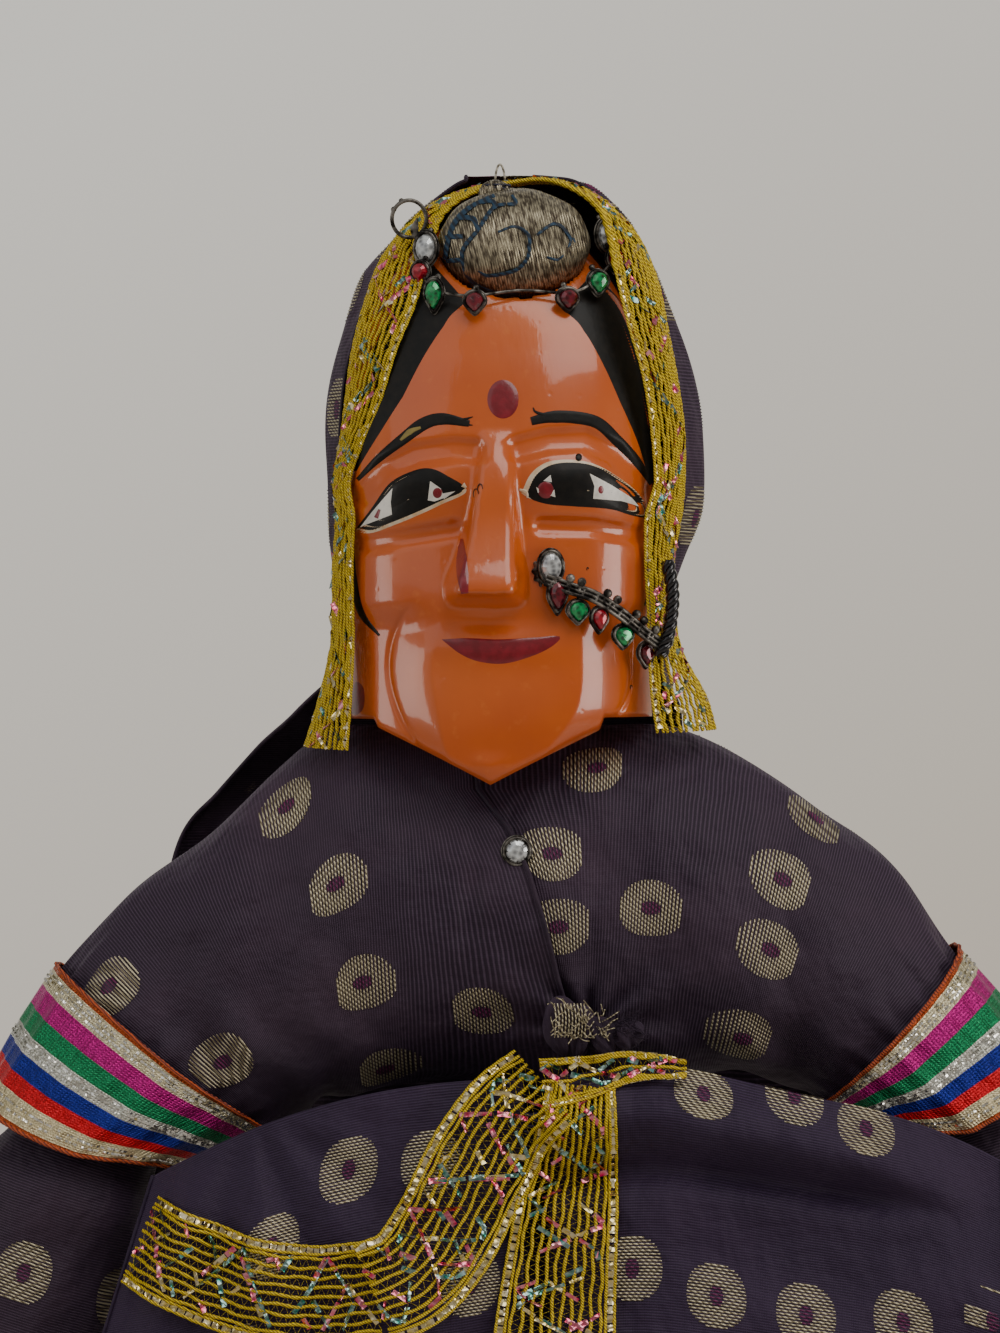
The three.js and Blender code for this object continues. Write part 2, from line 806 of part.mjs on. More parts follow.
const LACE_PATHS = {
  lace_end: {
    points: [
      [-56, -26.3, -179],
      [-40, -28.7, -182],
      [-24, -29.8, -186],
    ],
    width: 16,
  },
  lace_diagonal: {
    points: [
      [-26, -33.4, -195],
      [-16, -32.6, -180],
      [-6, -31.4, -166],
      [3, -29.6, -153],
    ],
    width: 13,
  },
  lace_hanging: {
    points: [
      [15.5, -27.2, -157],
      [14, -28.0, -170],
      [11, -30.0, -190],
      [9, -33.2, -212],
    ],
    width: 19,
  },
  lace_tucked: {
    points: [
      [15, -26.4, -150],
      [23, -26.6, -149.2],
      [31, -26.2, -148.8],
    ],
    width: 4,
  },
};

function lace(name) {
  const { points, width } = LACE_PATHS[name];
  return sheet(ribbonBetween(points, width), 8, 2, 0.7);
}

// ---------------------------------------------------------------- assembly
const puppet = new THREE.Group();
puppet.name = "kathputli";

function add(name, geometry, color, look = {}) {
  const material = new THREE.MeshStandardMaterial({
    color,
    metalness: look.metal ?? 0,
    roughness: look.rough ?? 0.8,
  });
  material.name = name;
  const mesh = new THREE.Mesh(geometry, material);
  mesh.name = name;
  puppet.add(mesh);
}

const SHINY = { metal: 1, rough: 0.4 };

function addHead() {
  add("head_block", headBlock(), 0xc85a19, { rough: 0.2 });
  add("crown_loop", crownLoop(), 0xd8d4c8);
  add("borla_cushion", ellipsoid(BUN), 0xa09a86, { rough: 0.5 });
  add("borla_knot", borlaKnot(), 0x3a3a55);
  add("brow_strip", stoneStrip(BROW_STONES, 0.3), METAL.dark, SHINY);
  BROW_STONES.forEach((spec, i) => {
    add(`brow_stone_${i + 1}`, stone(spec), GEM[spec[5]], { rough: 0.1 });
  });
  add("hair_ring", hairRing(), METAL.dark, SHINY);
  add("odhni_veil", sheet(veilAt, 16, 22, CLOTH), FABRIC.purple);
  add("veil_border_lace", sheet(borderAt, 32, 2, 0.8), METAL.gold);
}

function nosePin() {
  const { centre, out } = stonePlace([8.4, -23.6, -65.5]);
  const rings = [oval(1.7, 1.7, 0), oval(1.9, 1.9, 0.5), oval(1.2, 1.2, 1.4)];
  return loft(rings.map((ring) => facing(centre, out, ring)));
}

function addNath() {
  add("nose_stone", nosePin(), GEM.clear, { rough: 0.05 });
  add("nath_strip", stoneStrip(NATH_STONES, 0.3), METAL.dark, SHINY);
  NATH_STONES.forEach((spec, i) => {
    add(`nath_stone_${i + 1}`, stone(spec), GEM[spec[5]], { rough: 0.1 });
  });
  const chain = [
    [27.2, -16.6, -79.6],
    [28.6, -17.0, -76],
    [29.1, -17.2, -71],
    [28.9, -17.0, -66],
  ].map((p) => new THREE.Vector3(...p));
  add("nath_chain", wire(chain, 0.7, false, 8, 6), METAL.dark, SHINY);
}

function addTorso() {
  add("neck_binding", neckBinding(), 0x2c2540);
  add("torso_stuffing", torsoStuffing(), FABRIC.stuffing);
  add("bodice_right", bodiceHalf("right"), FABRIC.purple);
  add("bodice_left", bodiceHalf("left"), FABRIC.purple);
  add("bodice_button", button(), GEM.clear, { rough: 0.05 });
  add("waist_knot", waistKnot(), FABRIC.purple);
}

function addArm(side) {
  add(`upper_arm_stuffing_${side}`, upperArm(side), FABRIC.stuffing);
  add(`armband_${side}`, armband(side), METAL.silver, { metal: 0.6, rough: 0.5 });
  add(`forearm_stuffing_${side}`, forearmStuffing(side), FABRIC.stuffing);
  add(`sleeve_${side}`, sleeve(side), FABRIC.purple);
  add(`cuff_${side}`, cuff(side), METAL.gold);
  add(`hand_${side}`, hand(side), FABRIC.skin);
  add(`hand_loop_${side}`, handLoop(side), 0xd8d4c8);
}

function addSkirt() {
  add("waistband", waistband(), FABRIC.violet);
  add("ghagra", ghagra(), FABRIC.violet);
  add("hem_gota", hemGota(), METAL.gold);
  add("wrap_right", sheet(wrapRightAt, 10, 5, CLOTH), FABRIC.violet);
  add("wrap_left", sheet(wrapLeftAt, 10, 8, CLOTH), FABRIC.violet);
  for (const name of Object.keys(LACE_PATHS)) add(name, lace(name), METAL.gold);
  const back = new THREE.Vector3(0, 19.6, -159.5);
  add("back_loop", loopAt(back, new THREE.Vector3(0, 0, 1), 2.4, 1.2), 0xd8d4c8);
}

addHead();
addNath();
addTorso();
addArm("right");
addArm("left");
addSkirt();

export default puppet;
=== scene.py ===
"""Looks of a Rajasthani kathputli puppet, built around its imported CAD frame.

Shapes are worked out in millimetres and turned to metres as each mesh is made.
+Z is up, the face looks along -Y, and "right" is the puppet's own right, at -X.
"""

import math

import bpy
import numpy as np
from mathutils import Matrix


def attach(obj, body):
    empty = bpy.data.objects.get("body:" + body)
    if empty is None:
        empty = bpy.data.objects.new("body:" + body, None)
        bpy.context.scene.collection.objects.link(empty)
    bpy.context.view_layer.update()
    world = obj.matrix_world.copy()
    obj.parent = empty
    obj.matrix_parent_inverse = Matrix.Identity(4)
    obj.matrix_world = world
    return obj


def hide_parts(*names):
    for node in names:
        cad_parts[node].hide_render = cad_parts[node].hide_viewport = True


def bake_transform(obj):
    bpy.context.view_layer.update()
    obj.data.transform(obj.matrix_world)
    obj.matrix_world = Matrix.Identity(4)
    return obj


MM = 0.001  # metres in a millimetre
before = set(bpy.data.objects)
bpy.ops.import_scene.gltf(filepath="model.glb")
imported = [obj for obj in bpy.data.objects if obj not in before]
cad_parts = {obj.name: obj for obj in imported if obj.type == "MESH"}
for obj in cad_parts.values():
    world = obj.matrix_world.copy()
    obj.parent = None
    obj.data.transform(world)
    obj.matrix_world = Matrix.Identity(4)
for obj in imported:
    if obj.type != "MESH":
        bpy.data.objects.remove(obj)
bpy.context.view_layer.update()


# ------------------------------------------------------------ curves and tables
def curve(knots, values, at):
    """A smooth curve through values that stand at rising knots, read at the places `at`."""
    knots = np.asarray(knots, float)
    values = np.asarray(values, float)
    if values.ndim == 1:
        return curve(knots, values[:, None], at)[..., 0]
    slope = np.gradient(values, knots, axis=0)
    at = np.clip(np.asarray(at, float), knots[0], knots[-1])
    i = np.clip(np.searchsorted(knots, at) - 1, 0, len(knots) - 2)
    step = (knots[i + 1] - knots[i])[..., None]
    t = (at - knots[i])[..., None] / step
    start = (1 + 2 * t) * (1 - t) ** 2 * values[i] + t * (1 - t) ** 2 * step * slope[i]
    end = t * t * (3 - 2 * t) * values[i + 1] + t * t * (t - 1) * step * slope[i + 1]
    return start + end


def by_height(rows, z):
    """Reads a table whose first column is a falling height."""
    rows = np.asarray(rows, float)
    read = curve(-rows[:, 0], rows[:, 1:], -np.asarray(z, float))
    return [read[..., k] for k in range(read.shape[-1])]


def path(points, count):
    """A smooth line through a few points, as count points evenly spread along it."""
    points = np.asarray(points, float)
    knots = np.arange(len(points))
    if len(points) == 2:
        return points[0] + (points[1] - points[0]) * np.linspace(0, 1, count)[:, None]
    dense = curve(knots, points, np.linspace(0, knots[-1], 400))
    run = np.r_[0, np.cumsum(np.linalg.norm(np.diff(dense, axis=0), axis=1))]
    at = np.linspace(0, run[-1], count)
    return np.stack([np.interp(at, run, dense[:, k]) for k in range(dense.shape[1])], -1)


def smooth(t):
    """Eases from 0 to 1 as t goes from 0 to 1."""
    t = np.clip(t, 0, 1)
    return t * t * (3 - 2 * t)


def paired(u, v):
    """u and v as arrays of numbers with one shape."""
    return np.broadcast_arrays(np.asarray(u, float), np.asarray(v, float))


def around(count):
    """Angles evenly spread once round a circle."""
    return np.linspace(0, 2 * np.pi, count + 1)[:-1]


def globe(polar, turn, swell=1.0):
    """Points of a ball of radius 1, swollen sideways."""
    flat = np.sin(polar) * swell
    return np.stack([flat * np.cos(turn), flat * np.sin(turn), np.cos(polar) + 0 * turn], -1)


def hill(x, z, cx, cz, rx, rz):
    """A round hill of height 1, centred at cx and cz."""
    return np.exp(-(((x - cx) / rx) ** 2) - ((z - cz) / rz) ** 2)


def near_line(x, z, points):
    """Distance from each place to a line of points."""
    points = np.asarray(points, float)
    best = np.full(np.shape(x), 1e9)
    for (ax, az), (bx, bz) in zip(points[:-1], points[1:]):
        length = (bx - ax) ** 2 + (bz - az) ** 2
        t = np.clip(((x - ax) * (bx - ax) + (z - az) * (bz - az)) / length, 0, 1)
        best = np.minimum(best, np.hypot(x - ax - t * (bx - ax), z - az - t * (bz - az)))
    return best


# ------------------------------------------------------------ meshes
def unit(v):
    """Vectors of length 1 the same way as v."""
    return v / np.maximum(np.linalg.norm(v, axis=-1, keepdims=True), 1e-9)


def grid_faces(rows, columns, wrap=False):
    """The four corners of every face of a grid of points, closed round if wrap is set."""
    across = np.arange(columns if wrap else columns - 1)
    a = np.arange(rows - 1)[:, None] * columns + across
    b = np.arange(rows - 1)[:, None] * columns + (across + 1) % columns
    return np.stack([a, b, b + columns, a + columns], -1).reshape(-1, 4)


class Pile:
    """The points and faces of one piece, gathered bit by bit in millimetres."""

    def __init__(self):
        self.points = []
        self.uvs = []
        self.faces = []
        self.count = 0

    def add(self, points, faces, kind=0, flat=False, uv=None):
        """kind is the place of the material among the piece's materials."""
        points = np.asarray(points, float).reshape(-1, 3)
        uv = np.zeros((len(points), 2)) if uv is None else np.asarray(uv, float).reshape(-1, 2)
        self.points.append(points)
        self.uvs.append(uv)
        self.faces.append((np.asarray(faces) + self.count, kind, flat))
        self.count += len(points)

    def grid(self, points, kind=0, wrap=False, flat=False, uv=None):
        """A skin over rows of points."""
        rows, columns = points.shape[:2]
        self.add(points, grid_faces(rows, columns, wrap), kind, flat, uv)

    def tube(self, line, radius, sides=6, closed=False):
        """A round rod along a line, closed into a ring or capped at both ends."""
        line = np.asarray(line, float)
        ahead = np.roll(line, -1, 0) - np.roll(line, 1, 0) if closed else np.gradient(line, axis=0)
        ahead = unit(ahead)
        aside = np.eye(3)[np.argmin(np.abs(ahead).mean(0))]
        one = unit(np.cross(ahead, aside))
        two = np.cross(ahead, one)
        angle = around(sides)
        radius = np.broadcast_to(radius, len(line))[:, None, None]
        ring = one[:, None] * np.cos(angle)[:, None] + two[:, None] * np.sin(angle)[:, None]
        points = line[:, None] + ring * radius
        if closed:
            points = np.concatenate([points, points[:1]])
        self.grid(points, wrap=True)
        if not closed:
            for end in (points[0], points[-1]):
                fan = [[0, k + 1, (k + 1) % sides + 1] for k in range(sides)]
                self.add(np.vstack([end.mean(0), end]), fan)

    def ribbon(self, line, side, up, width, lift, kind=0):
        """A strip along a line, raised by lift along its middle."""
        aside = side * np.broadcast_to(width, len(line))[:, None] / 2
        self.grid(np.stack([line - aside, line + up * lift, line + aside], 1), kind)

    def ball(self, centre, radii):
        polar = np.linspace(0.02, np.pi - 0.02, 6)[:, None]
        shape = globe(polar, around(10)[None])
        self.grid(np.asarray(centre) + shape * np.asarray(radii), wrap=True)


def make(name, pile, materials, body=None, slot=None, replaces=()):
    """Turns a pile into a piece, which rides on a body if one is named."""
    points = np.concatenate(pile.points) * MM
    uvs = np.concatenate(pile.uvs) * MM
    loops = np.concatenate([faces.ravel() for faces, _, _ in pile.faces]).astype(np.int32)
    sizes = np.concatenate([np.full(len(f), f.shape[1]) for f, _, _ in pile.faces])
    kinds = np.concatenate([np.full(len(f), kind) for f, kind, _ in pile.faces])
    rounds = np.concatenate([np.full(len(f), not flat) for f, _, flat in pile.faces])
    mesh = bpy.data.meshes.new(name)
    mesh.vertices.add(len(points))
    mesh.vertices.foreach_set("co", points.astype(np.float32).ravel())
    mesh.loops.add(len(loops))
    mesh.loops.foreach_set("vertex_index", loops)
    mesh.polygons.add(len(sizes))
    starts = np.r_[0, np.cumsum(sizes)[:-1]].astype(np.int32)
    mesh.polygons.foreach_set("loop_start", starts)
    mesh.polygons.foreach_set("material_index", kinds.astype(np.int32))
    mesh.polygons.foreach_set("use_smooth", rounds)
    mesh.update(calc_edges=True)
    layer = mesh.uv_layers.new(name="cloth")
    layer.data.foreach_set("uv", uvs[loops].astype(np.float32).ravel())
    mesh.validate()
    for material in materials:
        mesh.materials.append(material)
    piece = bpy.data.objects.new(name, mesh)
    bpy.context.collection.objects.link(piece)
    if replaces:
        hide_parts(*replaces)
    if body:
        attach(piece, body)
    return piece


class Cloth:
    """A cloth surface at(u, v), in millimetres, whose front looks along -Y at the probe."""

    def __init__(self, at, probe=(0.5, 0.5)):
        self.at = at
        self.sign = 1
        _, normal, _, _ = self.frame(*probe)
        self.sign = 1 if normal[1] < 0 else -1
        steps = np.linspace(0, 1, 161)
        middle = at(steps, np.full(161, probe[1]))
        self.wide = np.linalg.norm(np.diff(middle, axis=0), axis=1).sum()
        middle = at(np.full(161, probe[0]), steps)
        self.long = np.linalg.norm(np.diff(middle, axis=0), axis=1).sum()

    def frame(self, u, v):
        """The point, the outward normal, and the millimetres per unit of u and of v."""
        u = np.asarray(u, float)
        v = np.asarray(v, float)
        step = 1e-3
        du = (self.at(u + step, v) - self.at(u - step, v)) / (2 * step)
        dv = (self.at(u, v + step) - self.at(u, v - step)) / (2 * step)
        normal = unit(np.cross(du, dv)) * self.sign
        return self.at(u, v), normal, np.linalg.norm(du, axis=-1), np.linalg.norm(dv, axis=-1)

    def find(self, x, z):
        """The u and v of the front of the cloth at x and z."""
        u, v = np.meshgrid(np.linspace(0, 1, 181), np.linspace(0, 1, 181))
        points = self.at(u, v)
        miss = np.hypot(points[..., 0] - x, points[..., 2] - z) + (points[..., 1] > 0) * 99
        k = np.unravel_index(np.argmin(miss), miss.shape)
        return u[k], v[k]

    def sheet(self, name, nu, nv, material, **how):
        """A piece of nu by nv faces, whose UVs are lengths over the cloth."""
        u, v = np.meshgrid(np.linspace(0, 1, nu + 1), np.linspace(0, 1, nv + 1))
        pile = Pile()
        uv = np.stack([u * self.wide, v * self.long], -1)
        pile.grid(self.at(u, v), uv=uv)
        return make(name, pile, [material], **how)

    def flat(self):
        """The cloth's lengths along u and along v, in metres."""
        return round(self.wide * MM, 3), round(self.long * MM, 3)

    def line(self, u, v, lift=0.0):
        """Points on the cloth, raised a little, with the cloth's normals there."""
        point, normal, _, _ = self.frame(u, v)
        return point + normal * np.asarray(lift, float)[..., None], normal


# ------------------------------------------------------------ woven motifs
THREAD_PITCH = 0.54
THREAD_WIDTH = 0.32
LEAF_ROUNDNESS = 2.3
HEART_ALONG = 1.15
HEART_ACROSS = 1.75
SHORTEST_THREAD = 0.4


def butti(pile, cloth, u0, v0, half_along=4.7, half_across=5.3):
    """A leaf of raised metal threads with a coloured oval of silk at its heart."""
    _, _, per_u, per_v = cloth.frame(u0, v0)
    for b in np.arange(-half_across + 0.3, half_across - 0.2, THREAD_PITCH):
        share = min(1, abs(b) / half_across)
        reach = half_along * (1 - share**LEAF_ROUNDNESS) ** (1 / LEAF_ROUNDNESS)
        heart = HEART_ALONG * math.sqrt(max(0, 1 - (b / HEART_ACROSS) ** 2))
        spans = [(-reach, reach, 0)]
        if heart > 0.25:
            spans = [(-reach, -heart, 0), (-heart, heart, 1), (heart, reach, 0)]
        for low, high, kind in spans:
            if high - low < SHORTEST_THREAD:
                continue
            a = np.linspace(low, high, max(2, int((high - low) / 1.3) + 2))
            u = u0 + a / per_u
            v = v0 + np.full(len(a), b) / per_v
            if u.min() < 0 or u.max() > 1 or v.min() < 0.004 or v.max() > 0.996:
                continue
            point, normal = cloth.line(u, v, 0.05)
            side = np.cross(unit(np.gradient(point, axis=0)), normal)
            taper = THREAD_WIDTH * (0.55 + 0.45 * np.sin(np.linspace(0.35, np.pi - 0.35, len(a))))
            pile.ribbon(point, side, normal, taper, 0.13, kind)


def lattice(cloth, gap_u, gap_v, inset=7.0):
    """Places in half-drop rows over a cloth, as (u, v)."""
    rows = max(1, int((cloth.long - 2 * inset) / gap_v))
    columns = max(1, int((cloth.wide - 2 * inset) / gap_u))
    for row in range(rows + 1):
        for column in range(columns + 1):
            u = (inset + (column + 0.5 * (row % 2)) * gap_u) / cloth.wide
            v = (inset + row * gap_v) / cloth.long
            if u < 1 - inset / cloth.wide * 0.8 and v < 1 - inset / cloth.long * 0.8:
                yield u, v


# ------------------------------------------------------------ materials
def node(tree, kind, inputs=None, **settings):
    """Adds a shader node. An input is a socket to link or a value to set."""
    made = tree.nodes.new(kind)
    for key, value in settings.items():
        setattr(made, key, value)
    for key, value in (inputs or {}).items():
        if isinstance(value, bpy.types.NodeSocket):
            tree.links.new(value, made.inputs[key])
        else:
            made.inputs[key].default_value = value
    return made


def colour(r, g, b):
    """A colour given as it looks on a screen, 0 to 255."""
    return tuple(((c / 255 + 0.055) / 1.055) ** 2.4 if c > 10 else c / 3295 for c in (r, g, b)) + (1,)


def look(name, **sockets):
    """A new material and its main shader, with fixed values on the shader's own sockets."""
    material = bpy.data.materials.new(name)
    material.use_nodes = True
    tree = material.node_tree
    shader = tree.nodes["Principled BSDF"]
    for key, value in sockets.items():
        shader.inputs[key.replace("_", " ")].default_value = value
    return material, tree, shader


def sums(tree, operation, a, b=0.0):
    """One step of arithmetic on sockets or numbers."""
    return node(tree, "ShaderNodeMath", {0: a, 1: b}, operation=operation).outputs[0]


def noise(tree, place, scale, detail=3.0, rough=0.5):
    """Soft random patches, from 0 to 1."""
    inputs = {"Vector": place, "Scale": scale, "Detail": detail, "Roughness": rough}
    return node(tree, "ShaderNodeTexNoise", inputs).outputs["Fac"]


def mixed(tree, share, a, b):
    """Colour a, turning into colour b as share goes from 0 to 1."""
    return node(tree, "ShaderNodeMix", {0: share, 6: a, 7: b}, data_type="RGBA").outputs[2]


def spread(tree, value, low, high, to_low=0.0, to_high=1.0):
    """Stretches the range from low to high over the range from to_low to to_high."""
    inputs = {0: value, 1: low, 2: high, 3: to_low, 4: to_high}
    return node(tree, "ShaderNodeMapRange", inputs).outputs[0]


def bump(tree, height, depth, normal=None):
    """A normal roughened by a height, whose depth is in metres."""
    inputs = {"Height": height, "Distance": depth, "Strength": 1.0}
    if normal is not None:
        inputs["Normal"] = normal
    return node(tree, "ShaderNodeBump", inputs).outputs[0]


def places(tree, kind="Object"):
    """Coordinates in metres: of the whole piece, or of its cloth for the kind UV."""
    return node(tree, "ShaderNodeTexCoord").outputs[kind]


def waves(tree, value, pitch):
    """A smooth wave from 0 to 1 along a length in metres."""
    turn = sums(tree, "MULTIPLY", value, 2 * math.pi / pitch)
    halved = sums(tree, "MULTIPLY", sums(tree, "SINE", turn), 0.5)
    return sums(tree, "ADD", halved, 0.5)


def dress(tree, shader, tone, normal):
    """Gives a shader its colour and its normal."""
    tree.links.new(tone, shader.inputs["Base Color"])
    tree.links.new(normal, shader.inputs["Normal"])


def enamel():
    """Thick glossy orange paint, brushed by hand over carved wood."""
    made, tree, shader = look("painted_orange", Roughness=0.3, Coat_Weight=0.85, Coat_Roughness=0.07)
    place = places(tree)
    broad = noise(tree, place, 45, 4)
    fine = noise(tree, place, 420, 3)
    deep = mixed(tree, spread(tree, broad, 0.35, 0.7), colour(210, 96, 16), colour(192, 80, 9))
    tone = mixed(tree, spread(tree, fine, 0.62, 0.78, 0, 0.3), deep, colour(224, 126, 52))
    stretched = node(tree, "ShaderNodeMapping", {"Vector": place, "Scale": (900, 900, 120)})
    strokes = noise(tree, stretched.outputs[0], 1.0, 2)
    pits = node(tree, "ShaderNodeTexVoronoi", {"Vector": place, "Scale": 300.0}).outputs[0]
    pits = spread(tree, pits, 0.0, 0.16, 0, 1)
    height = sums(tree, "ADD", sums(tree, "MULTIPLY", strokes, 0.4), sums(tree, "MULTIPLY", pits, 0.35))
    height = sums(tree, "ADD", height, sums(tree, "MULTIPLY", broad, 2.2))
    normal = bump(tree, height, 0.00006)
    dress(tree, shader, tone, normal)
    tree.links.new(normal, shader.inputs["Coat Normal"])
    return made


def paint(name, main, other, roughness=0.3, coat=0.5, shine=0.5):
    """A brushed gloss paint in one colour with thin places."""
    made, tree, shader = look(name, Roughness=roughness, Coat_Weight=coat, Coat_Roughness=0.12)
    shader.inputs["Specular IOR Level"].default_value = shine
    place = places(tree)
    tone = mixed(tree, spread(tree, noise(tree, place, 700, 3), 0.4, 0.75), main, other)
    dress(tree, shader, tone, bump(tree, noise(tree, place, 1500, 2), 0.00003))
    return made


RIB_PITCH = 0.00047


def silk(name, dark, light, worn):
    """Ribbed silk: fine pale ribs across a dark ground, rubbed paler here and there."""
    made, tree, shader = look(name, Roughness=0.62, Sheen_Weight=0.12, Sheen_Roughness=0.45)
    shader.inputs["Sheen Tint"].default_value = colour(200, 180, 215)
    shader.inputs["Specular IOR Level"].default_value = 0.3
    split = node(tree, "ShaderNodeSeparateXYZ", {"Vector": places(tree, "UV")})
    place = places(tree)
    wobble = sums(tree, "MULTIPLY", noise(tree, place, 90, 2), 0.0006)
    ribs = waves(tree, sums(tree, "ADD", split.outputs[1], wobble), RIB_PITCH)
    warps = waves(tree, split.outputs[0], RIB_PITCH * 0.62)
    grain = noise(tree, place, 2600, 2)
    tone = mixed(tree, spread(tree, ribs, 0.45, 1.0, 0, 0.6), dark, light)
    tone = mixed(tree, spread(tree, grain, 0.4, 0.8, 0, 0.35), tone, dark)
    patches = spread(tree, noise(tree, place, 38, 5, 0.6), 0.45, 0.75, 0, 0.55)
    tone = mixed(tree, patches, tone, worn)
    height = sums(tree, "ADD", ribs, sums(tree, "MULTIPLY", warps, 0.35))
    height = sums(tree, "ADD", height, sums(tree, "MULTIPLY", grain, 0.5))
    small = sums(tree, "MULTIPLY", noise(tree, place, 170, 3), 0.22)
    creases = sums(tree, "ADD", noise(tree, place, 42, 4, 0.55), small)
    slow = bump(tree, creases, 0.0042)
    dress(tree, shader, tone, bump(tree, height, 0.00005, slow))
    return made


def thread(name, main, dark, metallic=0.0, roughness=0.5, scale=1800.0):
    """Twisted thread, with painted shade in the grooves between its strands."""
    made, tree, shader = look(name, Metallic=metallic, Roughness=roughness)
    place = places(tree)
    twist = node(tree, "ShaderNodeMapping", {"Vector": place, "Rotation": (0.5, 0.7, 0.6)})
    inputs = {"Vector": twist.outputs[0], "Scale": scale / 6, "Distortion": 1.5, "Detail": 1.0}
    strands = node(tree, "ShaderNodeTexWave", inputs).outputs["Fac"]
    # the dark colour in the grooves between the strands is painted shade
    tone = mixed(tree, spread(tree, strands, 0.1, 0.7), dark, main)
    dress(tree, shader, tone, bump(tree, strands, 0.0001))
    return made


def foil(name, main, roughness=0.18):
    """Crumpled metal foil."""
    made, tree, shader = look(name, Metallic=0.9, Roughness=roughness)
    place = places(tree)
    crumple = node(tree, "ShaderNodeTexVoronoi", {"Vector": place, "Scale": 900.0})
    tone = mixed(tree, spread(tree, crumple.outputs[0], 0.1, 0.8, 0, 0.4), main, (0.9, 0.9, 0.9, 1))
    dress(tree, shader, tone, bump(tree, crumple.outputs[0], 0.0003))
    return made


def dark_metal():
    """Cast white metal, blackened in its hollows."""
    made, tree, shader = look("aged_white_metal", Metallic=0.85, Roughness=0.42)
    place = places(tree)
    worn = spread(tree, noise(tree, place, 600, 4), 0.42, 0.66)
    tone = mixed(tree, worn, colour(38, 34, 32), colour(150, 145, 138))
    dress(tree, shader, tone, bump(tree, noise(tree, place, 1400, 3), 0.0001))
    return made


def gem(name, deep, bright):
    """A glass stone over crumpled foil."""
    made, tree, shader = look(name, Metallic=0.35, Roughness=0.12, Coat_Weight=1.0, Coat_Roughness=0.03)
    place = places(tree)
    cell = node(tree, "ShaderNodeTexVoronoi", {"Vector": place, "Scale": 1100.0}).outputs[0]
    tone = mixed(tree, spread(tree, cell, 0.15, 0.75), deep, bright)
    tree.links.new(tone, shader.inputs["Base Color"])
    return made


def zari():
    """Silver-gold metal brocade, in small slanting floats."""
    made, tree, shader = look("zari", Metallic=0.75, Roughness=0.38)
    place = places(tree)
    tilt = node(tree, "ShaderNodeMapping", {"Vector": place, "Rotation": (0.0, 0.22, 0.0)})
    split = node(tree, "ShaderNodeSeparateXYZ", {"Vector": tilt.outputs[0]})
    warps = waves(tree, split.outputs[0], 0.00042)
    stretched = node(tree, "ShaderNodeMapping", {"Vector": tilt.outputs[0], "Scale": (2300, 800, 520)})
    floats = noise(tree, stretched.outputs[0], 1.0, 2)
    tone = mixed(tree, spread(tree, floats, 0.38, 0.66), colour(86, 76, 62), colour(198, 188, 160))
    tone = mixed(tree, spread(tree, warps, 0.0, 0.35, 0.6, 0), tone, colour(50, 44, 42))
    height = sums(tree, "ADD", warps, floats)
    dress(tree, shader, tone, bump(tree, height, 0.00009))
    return made


ARMBAND_STRIPES = [
    (0.0, (186, 84, 36)),
    (0.035, (232, 222, 186)),
    (0.15, (198, 20, 136)),
    (0.29, (28, 142, 90)),
    (0.43, (222, 222, 212)),
    (0.55, (26, 44, 150)),
    (0.68, (222, 24, 40)),
    (0.80, (232, 218, 176)),
    (0.965, (186, 84, 36)),
]


def armband_ribbon(width):
    """Metallic ribbon woven in coloured stripes along its length."""
    made, tree, shader = look("metallic_ribbon", Metallic=0.72, Roughness=0.3)
    split = node(tree, "ShaderNodeSeparateXYZ", {"Vector": places(tree, "UV")})
    place = places(tree)
    share = sums(tree, "DIVIDE", split.outputs[1], width)
    ramp = node(tree, "ShaderNodeValToRGB", {0: share})
    ramp.color_ramp.interpolation = "CONSTANT"
    stops = ramp.color_ramp.elements
    stops.remove(stops[1])
    stops[0].color = colour(*ARMBAND_STRIPES[0][1])
    for start, shade in ARMBAND_STRIPES[1:]:
        stops.new(start).color = colour(*shade)
    ribs = waves(tree, split.outputs[0], 0.0006)
    picks = waves(tree, split.outputs[1], 0.00046)
    grain = sums(tree, "MULTIPLY", ribs, picks)
    glint = spread(tree, noise(tree, place, 2400, 2), 0.35, 0.7)
    tone = mixed(tree, sums(tree, "MULTIPLY", glint, 0.3), ramp.outputs[0], (0.02, 0.02, 0.02, 1))
    height = sums(tree, "ADD", grain, sums(tree, "MULTIPLY", glint, 0.7))
    crinkle = bump(tree, noise(tree, place, 120, 3, 0.6), 0.0022)
    dress(tree, shader, tone, bump(tree, height, 0.00014, crinkle))
    return made


def plain_cloth(name, main, other):
    """Plain woven cotton."""
    made, tree, shader = look(name, Roughness=0.8, Sheen_Weight=0.2)
    split = node(tree, "ShaderNodeSeparateXYZ", {"Vector": places(tree)})
    one, two = (waves(tree, split.outputs[k], 0.0007) for k in (0, 2))
    weave = sums(tree, "MULTIPLY", one, two)
    tone = mixed(tree, noise(tree, places(tree), 150, 4), main, other)
    dress(tree, shader, tone, bump(tree, weave, 0.00015))
    return made


# ------------------------------------------------------------ head
# height, half width, front y, back y
HEAD_ROWS = [
    (-5, 5, -1, 11),
    (-8, 11, -5, 18),
    (-14, 17.5, -11, 23),
    (-20, 21.5, -15.5, 25),
    (-30, 24.8, -19.5, 26.3),
    (-42, 26.2, -22.5, 26.6),
    (-50, 26.4, -24.0, 26.6),
    (-57, 26.4, -23.2, 26.3),
    (-70, 26.4, -24.0, 25.5),
    (-80, 26.4, -24.6, 24.5),
    (-92, 26.3, -25.2, 23),
    (-104, 24, -24, 21),
]
SQUARENESS = 2.9
HEAD_TOP = -5
NECK_TOP = -90.2
MIDDLE_Y = 2
